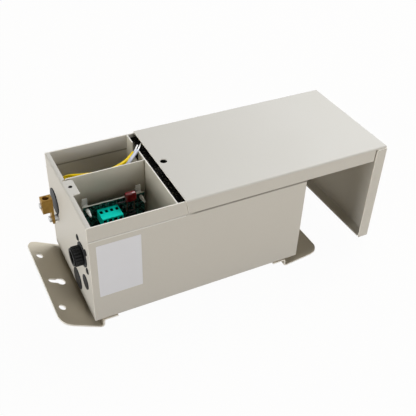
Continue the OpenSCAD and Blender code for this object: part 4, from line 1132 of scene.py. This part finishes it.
def addResistors():
    # a body thicker at both ends than between them, on legs that bend into the board
    thick, waist, half, at = resistor["body"], resistor["waist"], resistor["long"] / 2, resistor["legAt"]
    s = np.linspace(-1, 1, 41)
    end = np.clip((1 - np.abs(s)) / 0.12, 0, 1)
    radius = waist + (thick - waist) * np.clip(1 - ((np.abs(s) - 0.78) / 0.22) ** 2, 0, 1)
    radius = np.maximum(radius * np.sqrt(1 - (1 - end) ** 2), 0.02)
    leg = np.array([
        (half - 0.3, 0, 0), (at - 0.5, 0, 0), (at - 0.08, 0.12, 0), (at, 0.6, 0), (at, thick + 0.2, 0)])
    parts = []
    for dx, z in resistor["places"]:
        centre = np.array([shellLow[0] + dx, board - thick - 0.2, z])
        parts.append(lathe(np.column_stack([s * half, radius]), centre, 0, 20))
        for way in (-1, 1):
            parts.append(tube(smoothLine(centre + leg * [way, 1, 1], 0.35), resistor["leg"], 10))
    piece("boardResistors", parts, "board_resistors")


can = {"groove": 0.35, "soft": 0.6, "cup": 0.35, "sizes": ((24, 54, 10, 13), (24.5, 41, 8, 11.5))}


def addCans():
    # a sleeved can: a groove near the board, a rolled top edge, and the bare top set a little down
    parts = []
    for dx, z, wide, tall in can["sizes"]:
        r, soft, groove, cup = wide / 2, can["soft"], wide / 2 - can["groove"], tall - can["cup"]
        profile = [(0, 0), (0, r - 0.2), (0.2, r), (1.2, r), (1.5, groove), (2.0, groove), (2.3, r)]
        profile += arc(tall - soft, r - soft, soft, 90, 0)
        profile += [(tall - 0.05, r - soft - 0.15), (cup, r - soft - 0.3), (cup, 0)]
        standing = np.array(profile) * [-1, 1] + [board, 0]
        parts.append(lathe(standing, (shellLow[0] + dx, 0, z), 1, 36))
    piece("electrolyticCans", parts, "electrolytic_capacitors")


joint = {"pad": 0.8, "tall": 0.5, "rise": 0.12, "row": (33, 38.1, 60.4, 63.5), "rowAt": 80.3}


def addSolder():
    # cones of solder where legs meet the board, and the raised ends of a few tracks
    legLow, legHigh = corners("film_capacitor_legs")
    places = [(dx + way * resistor["legAt"], z) for dx, z in resistor["places"] for way in (-1, 1)]
    places += [(x - shellLow[0], legLow[2] + capacitor["leg"])
               for x in (legLow[0] + capacitor["leg"], legHigh[0] - capacitor["leg"])]
    places += [(dx, joint["rowAt"]) for dx in joint["row"]]
    for dx in np.arange(54, 72, 3.3):
        places += [(dx, 71.4), (dx + 1.2, 53.2)]
    pad, peak = joint["pad"], board - joint["tall"]
    cone = [(board, 0), (board, pad), (board - joint["rise"], pad), (board - 0.25, pad * 0.7), (peak, 0.32),
            (peak - 0.1, 0)]
    parts = [lathe(cone, (shellLow[0] + dx, 0, z), 1, 12) for dx, z in places]
    piece("solderJoints", parts, material=dullSolder, slot="tinned_copper")


def addLabel():
    low, high = corners("blank_label")
    wide, _, tall = high - low
    outline = roundedRectangle(wide, tall, 0.9) + ((low + high) / 2)[[0, 2]]
    piece("blankLabel", [extruded(outline, low[1], high[1], 0.06, axis=1)], "blank_label")


addFilmCapacitor()
addResistors()
addCans()
addSolder()
print("board filled")
addLabel()


# ---- pieces that keep their CAD shape: how far each one's edges are rounded

kept = {
    "transformer_core": 0, "primary_winding": 0, "secondary_winding": 0, "circuit_board": 0.15,
    "board_standoffs": 0.25, "terminal_block": 0.18, "terminal_screws": 0.1, "terminal_contacts": 0.1,
    "bridge_rectifier": 0.4, "earth_lug": 0.4, "lug_clamp_screw": 0.2, "lug_mounting_screw": 0.25,
    "lug_spacer": 0.2, "lug_nut": 0.2,
}


def keepNode(name, edge):
    # its loose triangles are joined into flat faces before the edges are rounded
    item = frame["nodes"][name]
    # the terminal screws take the dark copy, painted shade in the wells
    material = wellScrews if name == "terminal_screws" else finishes[slotOf(name)]
    if not item.material_slots:
        item.data.materials.append(material)
    for place in item.material_slots:
        place.material = material
    if edge:
        item.modifiers.new("weld", "WELD").merge_threshold = 0.001 * mm
        flat = item.modifiers.new("flat", "DECIMATE")
        flat.decimate_type, flat.angle_limit = "DISSOLVE", np.radians(0.5)
        roundEdges(item, edge)


for name, edge in kept.items():
    keepNode(name, edge)
print("CAD pieces finished", len(kept))


# ---- floor and light

light = {
    "sky": 0.06, "skyColour": (1, 0.86, 0.62, 1), "floor": (0.52, 0.46, 0.36, 1), "floorWhite": 0.97,
    "lamps": {
        "key": {"at": (1.5, 0.98, 2.05), "size": 1.7, "power": 70, "colour": (0.95, 0.975, 1.0)},
        "left": {"at": (-1.5, -0.25, 0.34), "size": 0.7, "power": 14.3, "colour": (0.975, 0.985, 0.985)},
        "front": {"at": (0.35, -1.42, 0.30), "size": 0.8, "power": 9.4, "colour": (0.98, 0.985, 1.0)},
        "right": {"at": (1.5, -0.2, 0.3), "size": 0.8, "power": 4.0, "colour": (1.0, 0.985, 0.95)},
    },
}


def addLamp(name, at, size, power, colour):  # a round lamp that looks at the object's middle
    data = bpy.data.lights.new(name, "AREA")
    data.shape, data.size, data.energy, data.color = "DISK", size, power, colour
    stand(name, data, at, np.array(at) - (0, 0, 0.05), (0, 0, 1))


def whiten(tree, share, lit, plain, end):
    # the camera, glossy and clear surfaces see this share of plain white in place of what is lit
    tree.nodes.clear()
    net = Net(tree)
    rays = [net.node("LightPath", out=f"Is {kind} Ray") for kind in ("Camera", "Glossy", "Transmission")]
    seen = rays[0].math("MAXIMUM", rays[0].math("MAXIMUM", rays[0], rays[1]), rays[2])
    mixed = net.node("MixShader", {}, {0: seen * share, 1: net.node(*lit), 2: net.node(*plain)})
    net.node(end, {}, {0: mixed})


def addFloor():
    z = cadBox[0][2]
    mesh = bpy.data.meshes.new("floor")
    mesh.from_pydata([(-4, -4, z), (4, -4, z), (4, 4, z), (-4, 4, z)], [], [(0, 1, 2, 3)])
    item = bpy.data.objects.new("floor", mesh)
    scene.collection.objects.link(item)
    material = bpy.data.materials.new("floorPaper")
    material.use_nodes = True
    whiten(material.node_tree, light["floorWhite"], ("BsdfDiffuse", {}, {"Color": light["floor"]}),
           ("Emission", {}, {"Color": (1, 1, 1, 1)}), "OutputMaterial")
    mesh.materials.append(material)


def addSky():
    scene.world = bpy.data.worlds.new("studio")
    scene.world.use_nodes = True
    lit = {"Color": light["skyColour"], "Strength": light["sky"]}
    whiten(scene.world.node_tree, 1.0, ("Background", {}, lit), ("Background", {}, {"Color": (1, 1, 1, 1)}),
           "OutputWorld")


addFloor()
addSky()
for name, lamp in light["lamps"].items():
    addLamp(name, **lamp)
print("floor and light set")
